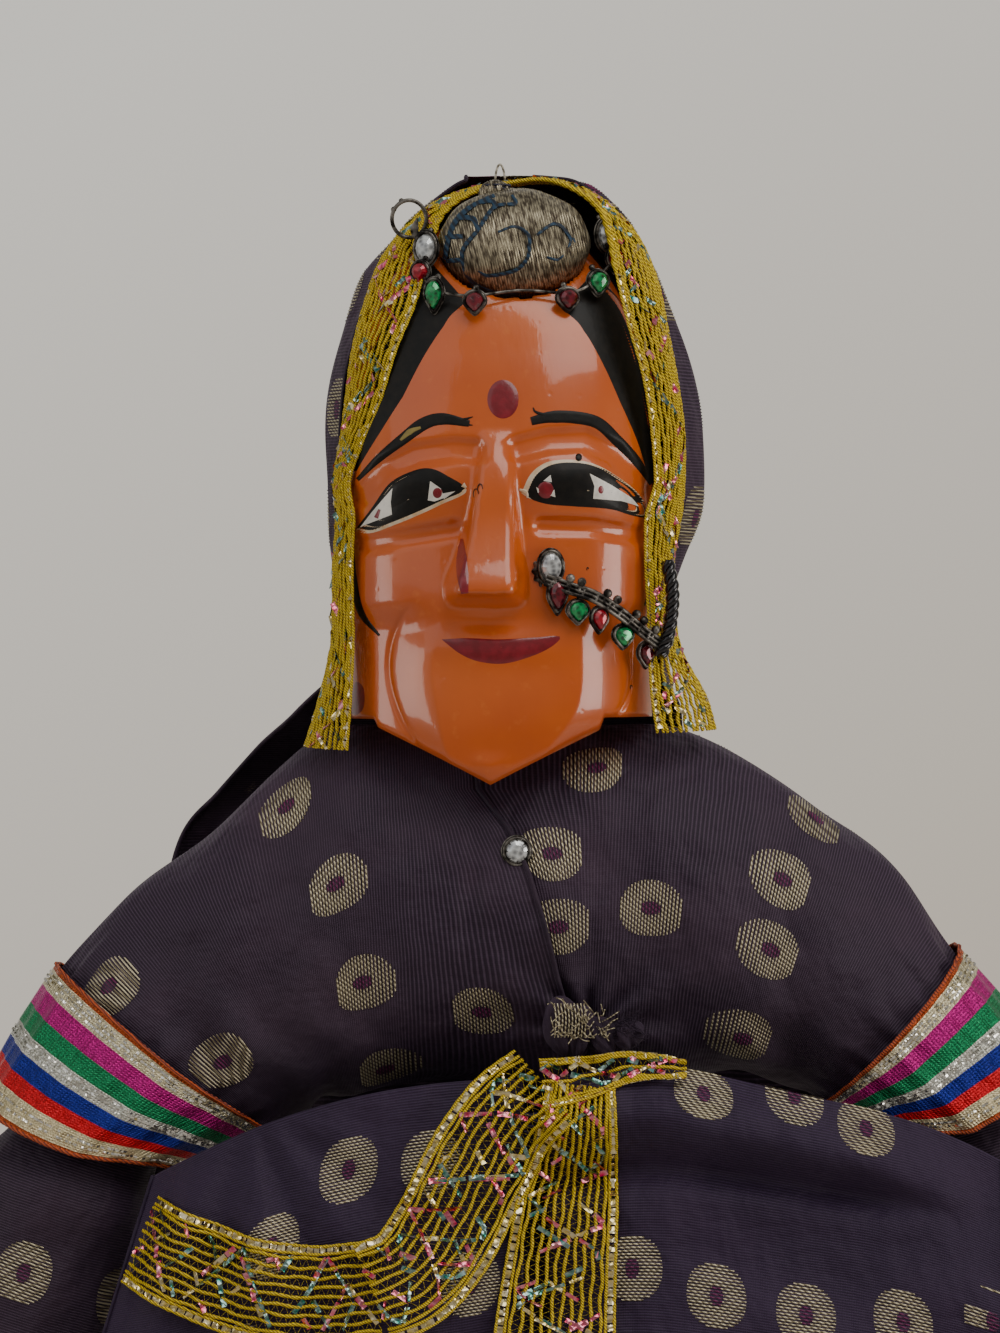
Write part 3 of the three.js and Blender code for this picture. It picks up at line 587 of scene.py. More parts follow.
# the jaw's lower edge, as a height for each x
JAW_X = [-40, -21, -20.4, -1.7, 16.7, 17.3, 40]
JAW_Z = [-90.5, -90.8, -92.2, -101.7, -92.6, -90.5, -90.3]
BUN = np.array((2.5, -9.0, -10.8))
BUN_RADII = np.array((12.8, 9.3, 9.4))
NECK = {"y": 5.0, "radius": 10.5, "low": -108.0}

# height, middle x, half width, how proud it stands
NOSE = [
    (-42.5, -0.6, 2.8, 0.0),
    (-46, -0.7, 3.2, 1.0),
    (-52, -0.9, 3.9, 2.6),
    (-58, -1.2, 4.8, 4.2),
    (-64, -1.8, 6.0, 6.2),
    (-69.4, -2.4, 7.1, 8.2),
    (-72.5, -2.4, 6.6, 7.4),
]
UNDER_BROW = [
    [(-23, -53.5), (-19, -49.2), (-14, -46.8), (-8, -46.0), (-4.2, -46.2)],
    [(2.6, -46.0), (8, -44.6), (14, -44.2), (19, -46.6), (24, -52.2)],
]
UNDER_EYE = [
    [(-25, -62.0), (-16, -60.6), (-7.4, -59.2)],
    [(7.0, -58.6), (15, -58.7), (25.5, -60.4)],
]
# height, then inner and outer x of the sloping cheek on each side of the chin
CHEEKS = [
    (-71, -10.5, -14.5, 12.0, 18.0),
    (-76, -10.2, -17.4, 13.4, 21.6),
    (-80, -11.2, -18.4, 13.6, 21.7),
    (-90, -10.2, -16.6, 12.2, 19.6),
    (-96, -9.0, -13.2, 8.0, 12.4),
    (-102, -6.0, -9.0, 4.0, 8.0),
]


def face_relief(x, z):
    """How far the carving stands proud of the plain head, in millimetres."""
    middle, half, proud = by_height(NOSE, z)
    slope = np.clip((1 - np.abs(x - middle) / half) / 0.38, 0, 1)
    tip = 1 - smooth((-z - 69.8) / 2.6)
    relief = proud * tip * (0.55 * slope + 0.45 * smooth(slope))
    for line in UNDER_BROW:
        relief = relief - 1.15 * np.exp(-((near_line(x, z, line) / 2.0) ** 4))
    for line in UNDER_EYE:
        relief = relief - 0.85 * np.exp(-((near_line(x, z, line) / 1.45) ** 4))
    for cx, cz in ((-14.6, -54.2), (14.8, -53.2)):
        away = ((x - cx) / 11.5) ** 2 + ((z - cz) / 5.0) ** 2
        relief = relief + 0.8 * np.exp(-(away**2))
    relief = relief - 0.7 * hill(x, z, -2, -74.6, 8, 1.8)
    relief = relief + 0.45 * hill(x, z, 0, -79, 9, 2.6) + 0.5 * hill(x, z, -1.8, -98.4, 3, 1.6)
    in_left, out_left, in_right, out_right = by_height(CHEEKS, z)
    drop = 2.5 * smooth((-z - 70.5) / 6)
    left = np.clip((in_left - x) / (in_left - out_left), 0, 1)
    right = np.clip((x - in_right) / (out_right - in_right), 0, 1)
    relief = relief - drop * (0.8 * (left + right) + 0.2 * (smooth(left) + smooth(right)))
    groove = np.exp(-(((x - out_left) / 0.5) ** 2)) + np.exp(-(((x - out_right) / 0.5) ** 2))
    return relief - 0.16 * drop * groove


def face_y(x, z):
    """The y of the face's surface."""
    half, front, _ = by_height(HEAD_ROWS, z)
    share = np.clip(np.abs(x) / half, 0, 0.9995) ** SQUARENESS
    depth = (1 - share) ** (1 / SQUARENESS)
    side = smooth(depth / 0.3)
    plain = MIDDLE_Y - (MIDDLE_Y - front) * depth
    y = plain - face_relief(x, z) * side
    inside = 1 - ((x - BUN[0]) / BUN_RADII[0]) ** 2 - ((z - BUN[2]) / BUN_RADII[2]) ** 2
    hollow = BUN[1] + BUN_RADII[1] * np.sqrt(np.maximum(inside, 0)) * 0.5
    return np.where(inside > 0, np.maximum(y, hollow), y)


def head_shell():
    """The carved head, down to the edge of the jaw, then under it and down the neck."""
    rows = 230
    front = np.linspace(-0.5, 0.5, 250)
    rest = np.linspace(0.5, 1.5, 60)[1:-1]
    angle = np.pi * np.r_[front, rest]
    wide = np.sign(np.sin(angle)) * np.abs(np.sin(angle)) ** (2 / SQUARENESS)
    deep = np.sign(np.cos(angle)) * np.abs(np.cos(angle)) ** (2 / SQUARENESS)
    low = np.where(deep > 0, np.interp(wide * 26.3, JAW_X, JAW_Z), -90.4)
    z = HEAD_TOP + np.linspace(0, 1, rows)[:, None] * (low - HEAD_TOP)
    half, _, back = by_height(HEAD_ROWS, z)
    x = half * wide
    y = np.where(deep > 0, face_y(x, z), MIDDLE_Y + (back - MIDDLE_Y) * np.abs(deep))
    rounded = np.clip(1 - (z - low) / 1.3, 0, 1)
    y = np.where(deep > 0, y + 1.1 * (1 - np.sqrt(1 - 0.98 * rounded**2)), y)
    pile = Pile()
    skin = np.stack([x, y, z], -1)
    corner = grid_faces(rows, len(angle), True)[:, 0]
    column = corner % len(angle)
    height = z[corner // len(angle), 0]
    # Black hair paint over the back and sides of the head. The strip of it down the sides of the face, below
    # the brow, is painted shadow for the dark gap between the face and the lace.
    hair_and_side_shadow = (deep <= 0)[column] | (np.abs(wide)[column] > np.where(height > -48, 0.955, 0.972))
    pile.grid(skin, hair_and_side_shadow.astype(int), wrap=True)
    edge = skin[-1]
    reach = NECK["radius"]
    ring = np.stack([reach * np.sin(angle), NECK["y"] - reach * np.cos(angle), 0 * angle + NECK_TOP], -1)
    rings = []
    for t in np.linspace(0, 1, 9):
        between = edge + (ring - edge) * t
        between[:, 2] = edge[:, 2] + (ring[:, 2] - edge[:, 2]) * smooth(t * 1.7)
        rings.append(between)
    foot = ring.copy()
    foot[:, 2] = NECK["low"]
    rings.append(foot)
    pile.grid(np.stack(rings), wrap=True)
    top = skin[0]
    crown = [top.mean(0) + (top - top.mean(0)) * t for t in (1, 0.6, 0.2, 0.0)]
    pile.grid(np.stack(crown), wrap=True)
    hair_and_shadow_paint = paint("hair_and_shadow_paint", colour(16, 14, 12), colour(30, 26, 20), 0.55, 0.0, 0.15)
    make("carved_head", pile, [enamel(), hair_and_shadow_paint], "head", "painted_wood", ["head_block"])


def on_face(x, z, lift):
    """Points at x and z, standing off the face by lift."""
    return np.stack([x, face_y(x, z) - lift, z], -1)


def on_bun(x, z, lift):
    """Points at x and z, standing off the front of the bun by lift."""
    share = 1 - ((x - BUN[0]) / BUN_RADII[0]) ** 2 - ((z - BUN[2]) / BUN_RADII[2]) ** 2
    return np.stack([x, BUN[1] - BUN_RADII[1] * np.sqrt(np.maximum(share, 0.02)) - lift, z], -1)


def stroke(pile, points, widths, lift=0.07, kind=0, place=on_face):
    """A brush stroke along (x, z) points, as wide as the brush was pressed."""
    line = path(points, max(12, int(len(points) * 12)))
    width = np.interp(np.linspace(0, 1, len(line)), np.linspace(0, 1, len(widths)), widths)
    ahead = unit(np.gradient(line, axis=0))
    across = np.linspace(-1, 1, 9)
    half = width[:, None] / 2 * across
    x = line[:, :1] - ahead[:, 1:] * half
    z = line[:, 1:] + ahead[:, :1] * half
    pile.grid(place(x, z, lift * (1 - across**6) + 0.012), kind)


def blot(pile, outline, lift=0.07, kind=0, place=on_face):
    """A filled shape inside an outline of (x, z) points."""
    points = np.asarray(outline, float)
    rim = path(np.vstack([points, points[:1]]), max(40, 8 * len(points)))[:-1]
    centre = rim.mean(0)
    share = np.array([0.02, 0.2, 0.4, 0.6, 0.8, 0.93, 1.0])[:, None]
    x = centre[0] + (rim[:, 0] - centre[0]) * share
    z = centre[1] + (rim[:, 1] - centre[1]) * share
    pile.grid(place(x, z, lift * (1 - share**6) + 0.012), kind, wrap=True)


def polygon(pile, outline, lift=0.07, kind=0, place=on_face):
    """A filled shape with sharp corners."""
    points = np.asarray(outline, float)
    sides = [path([a, b], 10)[:-1] for a, b in zip(points, np.roll(points, -1, 0))]
    rim = np.vstack(sides)
    centre = rim.mean(0)
    share = np.linspace(0.02, 1, 7)[:, None]
    x = centre[0] + (rim[:, 0] - centre[0]) * share
    z = centre[1] + (rim[:, 1] - centre[1]) * share
    pile.grid(place(x, z, lift + 0 * x), kind, wrap=True)


def disc(cx, cz, rx, rz, count=18):
    """The outline of an oval."""
    angle = around(count)
    return np.stack([cx + rx * np.cos(angle), cz + rz * np.sin(angle)], -1)


LEFT_EYE = [
    (-24.3, -59.0), (-21.5, -55.6), (-18.3, -51.4), (-14.3, -49.4),
    (-11.5, -49.1), (-8.8, -50.3), (-5.8, -52.6), (-10.0, -54.8),
    (-13.5, -56.4), (-17.5, -58.0), (-21.5, -59.3),
]
RIGHT_EYE = [
    (4.0, -53.4), (5.6, -50.2), (8.3, -48.3), (12.3, -47.9),
    (16.3, -48.7), (20.3, -50.9), (23.5, -53.4), (25.2, -56.8),
    (22.3, -56.8), (18.3, -55.8), (12.3, -55.4), (8.3, -55.1), (5.6, -54.4),
]


def shifted(outline, dx, dz, grow):
    """An outline moved and made larger about its own centre."""
    points = np.asarray(outline, float)
    centre = points.mean(0)
    return centre + (points - centre) * grow + np.array((dx, dz))


BLACK, WHITE, RED, OLIVE, IVORY = range(5)
# what each stroke is: points, widths, how far it stands up, colour
HAIR_AND_BROWS = [
    ([(-8.6, -17.5), (-12.6, -21), (-16.2, -27), (-19.3, -34), (-22.4, -42), (-24.8, -49)],
     [9, 10, 9, 8, 5, 1.5], 0.07, BLACK),
    ([(13.2, -18.5), (17.5, -22.5), (20.6, -29), (23.0, -37), (24.8, -44), (25.8, -51)],
     [9, 9.5, 8, 6, 3.6, 1.2], 0.07, BLACK),
    ([(-23.9, -50.7), (-20.3, -47.3), (-16.3, -44.2), (-12.7, -41.6), (-9.5, -40.8), (-5.1, -41.6)],
     [0.7, 1.3, 1.8, 2.2, 2.0, 1.1], 0.1, BLACK),
    ([(-6.2, -41.05), (-4.5, -40.43)], [0.7, 0.1], 0.1, BLACK),
    ([(-6.2, -41.7), (-4.5, -41.86)], [0.7, 0.1], 0.1, BLACK),
    ([(5.2, -41.2), (8.3, -40.5), (12.3, -40.5), (16.3, -41.4), (19.5, -44.2), (22.7, -47.4), (25.5, -51.3)],
     [1.4, 2.1, 2.1, 2.0, 1.9, 1.6, 0.7], 0.1, BLACK),
    ([(5.5, -38.9), (5.9, -39.6), (7.4, -40.2)], [0.2, 0.5, 0.7], 0.1, BLACK),
    ([(-16.6, -44.3), (-15, -42.9), (-13.2, -42.2)], [0.5, 1.2, 0.5], 0.17, OLIVE),
]
EYE_WHITES = [
    [(-23.4, -58.6), (-21.4, -56.2), (-17.9, -52.3), (-18.2, -54.6), (-18, -56.7), (-20.2, -57.5)],
    [(-11.6, -51.2), (-9.9, -52.4), (-9.2, -54.0), (-10.9, -54.6), (-12.0, -54.4)],
    [(-9.6, -53.3), (-7.4, -52.9), (-9.3, -54.2)],
    [(14.9, -49.9), (18.4, -51.7), (22.0, -53.8), (23.3, -55.2), (20.3, -54.4), (15.5, -54.1), (15.7, -52)],
    [(7.2, -51.2), (8.4, -50.2), (8.6, -51.4)],
    [(8.3, -53.6), (9.2, -53.9), (9.0, -52.6)],
    [(6.0, -52.2), (6.8, -52.8), (6.3, -53.2)],
]
# x, z, half width, half height, how far it stands up, colour
DOTS = [
    (0.5, -37.5, 2.6, 3.25, 0.16, RED),
    (-10.4, -53.2, 0.95, 1.05, 0.19, RED),
    (16.8, -52.6, 0.55, 0.8, 0.19, RED),
    (7.6, -52.7, 1.45, 1.5, 0.19, RED),
    (13.1, -47.2, 0.55, 0.65, 0.3, BLACK),
]
EYE_AND_FACE_LINES = [
    ([(-20.1, -55.8), (-20.7, -57.2)], [0.5, 1.0], 0.19, RED),
    ([(-6.2, -51.8), (-5.6, -52.3)], [0.9, 0.3], 0.12, IVORY),
    ([(3.2, -52.6), (4.3, -53.1), (4.6, -54.0)], [0.4, 0.7, 0.3], 0.12, IVORY),
    ([(-6.4, -60.8), (-6.4, -64), (-6.2, -66.6), (-5.8, -70)], [0.6, 1.8, 2.0, 1.2], 0.1, RED),
    ([(-25.1, -58), (-24.9, -64), (-24.3, -69.4), (-23, -73.5), (-20.2, -76.8)],
     [0.6, 1.0, 1.3, 1.2, 0.4], 0.1, BLACK),
    ([(25.4, -56), (25.3, -67.5), (24.3, -71.8)], [0.8, 0.6, 0.3], 0.08, BLACK),
]
MOUTH = [
    (-9.7, -77.5), (-5.5, -77.3), (0, -77.5), (5.5, -77.2), (9.9, -77.0),
    (8.7, -78.6), (5.5, -80.2), (0.8, -81.5), (-3.4, -81.2), (-6.6, -79.9),
]
JAW_SPOT = [(-25.4, -86.0), (-24.2, -84.6), (-22.9, -85.6), (-22.8, -88.6), (-23.9, -90.0), (-25.2, -89.6)]
SCUFFS = [(-4.0, -53.4, 1.2), (-3.3, -52.6, 1.2), (14.6, -65.8, 0.4), (22.0, -85.5, 0.5)]


def face_paint():
    """The painted features: black, white, dark red, the worn olive of one brow, and ivory, which round the
    eyes is a painted highlight.
    """
    pile = Pile()
    for points, widths, lift, kind in HAIR_AND_BROWS + EYE_AND_FACE_LINES:
        stroke(pile, points, widths, lift, kind)
    # The ivory rim that shows to one side of each black eye is a painted highlight along the eye's edge.
    for eye, dx, dz in ((LEFT_EYE, 0.12, -0.3), (RIGHT_EYE, -0.3, 0.2)):
        blot(pile, shifted(eye, dx, dz, 1.015), 0.05, IVORY)
        blot(pile, eye, 0.1, BLACK)
    for outline in EYE_WHITES:
        polygon(pile, outline, 0.15, WHITE)
    for x, z, rx, rz, lift, kind in DOTS:
        blot(pile, disc(x, z, rx, rz), lift, kind)
    blot(pile, MOUTH, 0.12, RED)
    blot(pile, JAW_SPOT, 0.09, RED)
    for x, z, size in SCUFFS:
        stroke(pile, disc(x, z, size * 0.35, size * 0.7, 8)[:6], [0.12, 0.2, 0.12], 0.05, BLACK)
    looks = [
        paint("black_paint", colour(11, 10, 9), colour(26, 22, 18), 0.45, 0.06, 0.25),
        paint("white_paint", colour(232, 228, 218), colour(206, 200, 190), 0.35, 0.4),
        paint("red_paint", colour(118, 8, 26), colour(142, 18, 38), 0.28, 0.6),
        paint("worn_olive", colour(146, 128, 62), colour(110, 96, 50), 0.5, 0.1),
        paint("ivory_paint_and_highlight", colour(222, 205, 178), colour(210, 170, 120), 0.35, 0.5),
    ]
    make("face_paint", pile, looks, "head")


# ------------------------------------------------------------ bun and jewels
# points along x and z, and a width
BUN_LINES = [
    ([(-6, -16.1), (-6.3, -12.4), (-3.7, -9), (-1.2, -5.3), (1, -4.5)], 0.75),
    ([(-6, -16.1), (-3.4, -18.4), (0.7, -19.5), (5, -18.9)], 0.7),
    ([(-0.3, -9.4), (2.5, -8.5), (4.7, -9.9), (4.9, -12), (4.5, -13.9), (2.5, -15.8), (-1.8, -16.6),
      (-3.7, -15.8)], 0.62),
    ([(6.1, -9.9), (9.2, -7.9), (11.4, -9.6), (11.7, -11.4), (9.9, -13.8), (7.8, -13.6)], 0.6),
    ([(12.2, -10.2), (13.2, -11.7), (14.3, -10.9)], 0.4),
    ([(-9.3, -13.6), (-8.6, -9.9), (-7.2, -6.9), (-4.3, -4.4), (-0.9, -2.9)], 1.0),
    ([(-9.3, -9.9), (-6.2, -10)], 0.9),
    ([(-7.2, -6.7), (-4.6, -7), (-3.7, -8.9)], 0.9),
    ([(-4, -4.2), (-1.3, -4), (-0.8, -5.4)], 0.8),
    ([(-9, -13.9), (-6.3, -13.9)], 0.8),
    ([(2, -2.9), (2.6, -4.4), (1.2, -4.6)], 0.7),
]


def bun():
    """The stuffed brocade bun, its blue woven outlines and the small gathered knob on top."""
    pile = Pile()
    polar = np.linspace(0.03, np.pi - 0.03, 64)[:, None]
    turn = around(120)[None]
    lumps = 1 + 0.012 * np.sin(5 * turn + 3 * polar) * np.sin(polar) + 0.01 * np.sin(9 * polar + 2 * turn)
    pile.grid(BUN + globe(polar, turn) * BUN_RADII * lumps[..., None], 0, wrap=True)
    polar = np.linspace(0.1, 2.6, 20)[:, None]
    turn = around(60)[None]
    gathers = 1 + 0.12 * np.sin(9 * turn) * np.sin(polar)
    knob = globe(polar, turn, gathers) * np.array((2.6, 2.2, 2.3))
    pile.grid(np.array((-0.8, -8.4, -2.2)) + knob, 0, wrap=True)
    for line, width in BUN_LINES:
        stroke(pile, line, [width * 0.8, width, width, width * 0.8], 0.22, 1, on_bun)
    blue = thread("blue_silk", colour(28, 62, 88), colour(12, 28, 44), 0, 0.55)
    piece = make("brocade_bun", pile, [zari(), blue], "head", "zari_brocade", ["borla_cushion"])
    bun_tie()


def bun_tie():
    """Three turns of dark thread round the foot of the knob."""
    tie = Pile()
    angle = around(39)
    for k in range(3):
        x = -0.6 + (2.3 - 0.1 * k) * np.cos(angle)
        y = -8.2 + 1.9 * np.sin(angle)
        tie.tube(np.stack([x, y, -0.9 - 0.5 * k + 0 * angle], -1), 0.24, 6, closed=True)
    navy = thread("navy_thread", colour(40, 40, 66), colour(15, 14, 26))
    make("bun_tie", tie, [navy], "head", "binding_thread", ["borla_knot"])


# x, y, z, half width, half height, colour
BROW_STONES = [
    (-12.4, -11.5, -11.7, 1.6, 2.1, "clear"),
    (-13.3, -12.8, -15.8, 1.3, 1.4, "red"),
    (-11.0, -16.4, -19.6, 1.3, 1.9, "green"),
    (-4.2, -18.8, -21.0, 1.4, 1.3, "wine"),
    (11.3, -17.0, -20.4, 1.5, 1.3, "wine"),
    (16.4, -13.8, -17.4, 1.5, 1.4, "green"),
    (19.3, -10.4, -13.4, 1.3, 1.4, "red"),
    (17.8, -8.4, -9.2, 1.5, 2.0, "clear"),
]
NATH_STONES = [
    (9.5, -25.4, -70.0, 1.3, 1.9, "wine"),
    (12.9, -25.1, -72.7, 1.5, 1.3, "green"),
    (16.4, -24.1, -74.0, 1.2, 1.4, "red"),
    (20.4, -21.4, -76.8, 1.5, 1.3, "green"),
    (24.3, -16.6, -79.8, 1.3, 1.4, "wine"),
]


def seat(x, y, z, lean=0.35):
    """A frame for a stone: its centre, its right, its up and the way it looks."""
    out = unit(np.array((lean * x, -12.0, 0.0)))
    right = np.cross((0, 0, 1.0), out)
    return np.array((x, y, z)), right, np.array((0, 0, 1.0)), out


def drop_outline(half_x, half_z, point, count=28):
    """A round outline drawn out to a point at the bottom."""
    angle = around(count)
    low = np.clip(-np.sin(angle), 0, 1)
    a = half_x * np.cos(angle) * (1 - point * 0.45 * low**2)
    c = half_z * np.sin(angle) * (1 + point * 0.28 * low**4)
    return a, c


def set_stone(gems, metal, spec, point):
    """A faceted stone in a raised metal rim on a small plate."""
    centre, right, up, out = seat(*spec[:3])
    a, c = drop_outline(spec[3] * 1.08, spec[4] * 1.12, point)

    def ring(scale, lift):
        return centre + np.outer(a * scale, right) + np.outer(c * scale, up) + out * lift

    plate = [ring(0.02, -0.5), ring(1.2, -0.5), ring(1.26, -0.1), ring(1.05, 0.5), ring(0.9, 0.5)]
    metal.grid(np.stack(plate), wrap=True)
    metal.tube(ring(1.16, 0.45), 0.24, 6, closed=True)
    metal.tube(ring(1.33, 0.0), 0.16, 5, closed=True)
    facets = [ring(1.0, 0.45), ring(0.9, 1.0), ring(0.55, 1.45), ring(0.02, 1.5)]
    gems.grid(np.stack([f[::2] for f in facets]), wrap=True, flat=True)


def jewels():
    """The stones over the brow and on the nath, and the other metal pieces."""
    metal_look = dark_metal()
    looks = {
        "clear": gem("clear_glass", colour(120, 122, 126), colour(226, 230, 232)),
        "red": gem("red_glass", colour(96, 8, 26), colour(190, 26, 48)),
        "green": gem("green_glass", colour(4, 60, 34), colour(24, 172, 96)),
        "wine": gem("wine_glass", colour(48, 10, 20), colour(128, 26, 44)),
    }
    for group, stones, body, strip in (
        ("brow", BROW_STONES, "head", "brow_strip"),
        ("nath", NATH_STONES, "nath", "nath_strip"),
    ):
        metal = Pile()
        for shade in looks:
            gems = Pile()
            nodes = []
            for number, spec in enumerate(stones, 1):
                if spec[5] == shade:
                    point = 0.15 if shade == "clear" else 0.9
                    set_stone(gems, metal, spec, point)
                    nodes.append(f"{group}_stone_{number}")
            if nodes:
                make(f"{group}_{shade}_stones", gems, [looks[shade]], body, f"{shade}_stone", nodes)
        if group == "brow":
            brow_wire(metal)
        else:
            nath_band(metal)
        make(f"{group}_settings", metal, [metal_look], body, "dark_metal", [strip])
    nose_stud(metal_look, looks["clear"])
    button(metal_look, looks["clear"])
    hair_ring(metal_look)
    chain()


def brow_wire(metal):
    """The wire that joins the stones over the brow, with a bead above each stone."""
    line = path([(x, y + 0.6, z + 0.8) for x, y, z, _, _, _ in BROW_STONES], 90)
    under_bun = np.exp(-(((line[:, 0] - 3.5) / 6) ** 2))
    line[:, 1:] += under_bun[:, None] * (1.2, 1.1)
    metal.tube(line, 0.28, 6)
    for x, y, z, _, half, _ in BROW_STONES:
        metal.ball((x * 0.94, y + 0.1, z + half + 0.9), (0.55, 0.5, 0.55))


def nath_band(metal):
    """The cast band above the stones, with pairs of beads and small open windows."""
    points = [
        (7.6, -25.9, -67.6), (11.5, -26.4, -69.0), (15.6, -25.6, -70.4),
        (19.8, -23.6, -73.0), (23.6, -20.4, -76.0), (26.6, -17.4, -78.2),
    ]
    line = path(points, 60)
    ahead = unit(np.gradient(line, axis=0))
    out = unit(np.stack([0.35 * line[:, 0], np.full(60, -12.0), np.zeros(60)], -1))
    side = unit(np.cross(ahead, out))
    for offset, radius in ((-0.75, 0.34), (0.75, 0.34), (0.0, 0.26)):
        metal.tube(line + side * offset, radius, 6)
    metal.ribbon(line - out * 0.25, side, out, 1.7, 0.05)
    for k in range(4, 58, 6):
        bar = line[k] + np.outer(np.linspace(-0.75, 0.75, 4), side[k])
        metal.tube(bar, 0.3, 5)
    for k in (9, 14, 25, 30, 41, 46, 54):
        up = side[k] if side[k][2] > 0 else -side[k]
        metal.ball(line[k] + up * 1.55 + out[k] * 0.25, (0.78, 0.7, 0.78))
        metal.tube(np.stack([line[k], line[k] + up * 1.2]), 0.3, 5)
    for x, y, z, _, half, _ in NATH_STONES:
        near = line[np.argmin(np.abs(line[:, 0] - x))]
        metal.tube(np.stack([(x, y + 0.1, z + half), near]), 0.3, 5)


def nose_stud(metal_look, clear):
    """The clear stone on the nose, in a scalloped metal rim."""
    gems = Pile()
    metal = Pile()
    set_stone(gems, metal, (8.4, -23.9, -65.5, 1.65, 2.1), 0.1)
    centre, right, up, out = seat(7.9, -23.4, -66.2)
    angle = around(72)
    reach = 2.5 + 0.22 * np.cos(12 * angle)
    rim = centre + np.outer(reach * np.cos(angle), right) + np.outer(reach * 1.1 * np.sin(angle), up)
    metal.grid(np.stack([centre + (rim - centre) * 0.02, rim + out * 0.1, rim - out * 0.4]), wrap=True)
    make("nose_stud_glass", gems, [clear], "head", "clear_stone", ["nose_stone"])
    make("nose_stud_setting", metal, [metal_look], "head", "dark_metal")


def button(metal_look, clear):
    """The rhinestone button of the bodice, held by eight claws."""
    gems = Pile()
    metal = Pile()
    spec = (2.8, -19.9, -112.8, 1.75, 1.75)
    set_stone(gems, metal, spec, 0.0)
    centre, right, up, out = seat(*spec[:3])
    for k in range(8):
        angle = np.pi / 4 * k
        reach = np.cos(angle) * right + np.sin(angle) * up
        metal.tube(np.stack([centre + reach * 2.1 + out * 0.2, centre + reach * 1.5 + out * 1.05]), 0.17, 5)
    make("button_glass", gems, [clear], "torso", "clear_stone", ["bodice_button"])
    make("button_rim", metal, [metal_look], "torso", "dark_metal")


def hair_ring(metal_look):
    """The wire ring beside the bun, with a leaf and two beads."""
    pile = Pile()
    angle = around(48)
    x, y, z = -15.3 + 2.9 * np.cos(angle), -9.6 - 0.5 * np.sin(angle), -6.6 + 3.1 * np.sin(angle)
    pile.tube(np.stack([x, y, z], -1), 0.34, 8, closed=True)
    leaf = path([(-13.6, -10.2, -10.6), (-14.4, -10.4, -8.6), (-13.9, -10.4, -6.4)], 14)
    width = 1.3 * np.sin(np.linspace(0.2, np.pi, 14)) + 0.1
    pile.ribbon(leaf, np.tile((1.0, 0, 0), (14, 1)), np.tile((0, -1.0, 0), (14, 1)), width, 0.2)
    for x, z in ((-17.9, -5.0), (-16.6, -3.6)):
        pile.ball((x, -9.7, z), (0.5, 0.45, 0.5))
    make("wire_hair_ring", pile, [metal_look], "head", "dark_metal", ["hair_ring"])


def chain():
    """Three dark strands twisted round each other."""
    points = [
        (26.8, -17.4, -80.2), (28.0, -17.4, -77), (28.7, -17.6, -73),
        (28.8, -17.4, -69), (28.0, -16.8, -64.5),
    ]
    line = path(points, 90)
    ahead = unit(np.gradient(line, axis=0))
    one = unit(np.cross(ahead, (0, 1.0, 0)))
    two = np.cross(ahead, one)
    turn = np.linspace(0, 2 * np.pi * 3.3, 90)[:, None]
    pile = Pile()
    for k in range(3):
        phase = turn + 2 * np.pi * k / 3
        pile.tube(line + (one * np.cos(phase) + two * np.sin(phase)) * 0.62, 0.6, 8)
    made, _, _ = look("black_enamel_wire", Metallic=0.4, Roughness=0.18, Coat_Weight=0.6, Coat_Roughness=0.05)
    made.node_tree.nodes["Principled BSDF"].inputs["Base Color"].default_value = colour(22, 20, 24)
    make("twisted_chain", pile, [made], "nath", "dark_metal", ["nath_chain"])


# ------------------------------------------------------------ gota lace
def lace_looks():
    """The lace's cord, its gold foil and its two coloured foils."""
    return [
        thread("yellow_cord", colour(238, 208, 24), colour(150, 120, 8), 0.1, 0.5, 5200),
        foil("gold_foil", colour(214, 190, 106)),
        foil("pink_foil", colour(228, 16, 96)),
        foil("teal_foil", colour(8, 124, 110)),
    ]


# shares of the lace's width
LADDERS = (0.045, 0.955)
EDGE_CORDS = (0.008, 0.992, 0.085, 0.915)


def lace(name, cloth, looks, body=None, replaces=(), cords=8, seed=1, closed=False):
    """Wavy cords, a fine net between them, foil ladders at both edges and coloured foil strips."""
    random = np.random.default_rng(seed)
    count = max(24, int(cloth.wide / 0.8))
    u = np.linspace(0.0 if closed else 0.002, 1.0 if closed else 0.998, count)
    run = u * cloth.wide
    pile = Pile()

    def track(v, lift):
        return cloth.line(u, np.clip(v, 0.01, 0.99) + 0 * u, lift)

    rows = np.linspace(0.13, 0.87, cords)
    lace_cords(pile, track, rows, run, cloth.long, random)
    lace_net(pile, track, rows, count)
    for v in LADDERS:
        foil_ladder(pile, *track(v, 0.16), random)
    for v in EDGE_CORDS:
        line, _ = track(v, 0.1)
        pile.tube(line, 0.27 + 0.05 * np.sin(2 * np.pi * run / 1.2), 5)
    for strip in range(4):
        beat = random.uniform(15, 19)
        start = strip * 0.27 + random.uniform(0, 0.1)
        phase = (run / beat + start) % 1
        line, normal = track(0.5 + 0.4 * (4 * np.abs(phase - 0.5) - 1), 0.38)
        foil_strip(pile, line, normal, 2 + strip % 2, random)
    return make(name, pile, looks, body, "gota_lace", replaces)


def lace_cords(pile, track, rows, run, width, random):
    """Lengthwise cords that wander a little from side to side."""
    for v in rows:
        beat, start = random.uniform(6, 11), random.uniform(0, 6)
        wander = 0.17 / width * np.sin(2 * np.pi * run / beat + start)
        line, _ = track(v + wander, 0.12 + 0.12 * np.sin(2 * np.pi * run / 3.1 + start))
        pile.tube(line, 0.31 + 0.06 * np.sin(2 * np.pi * run / 1.3 + start), 5)


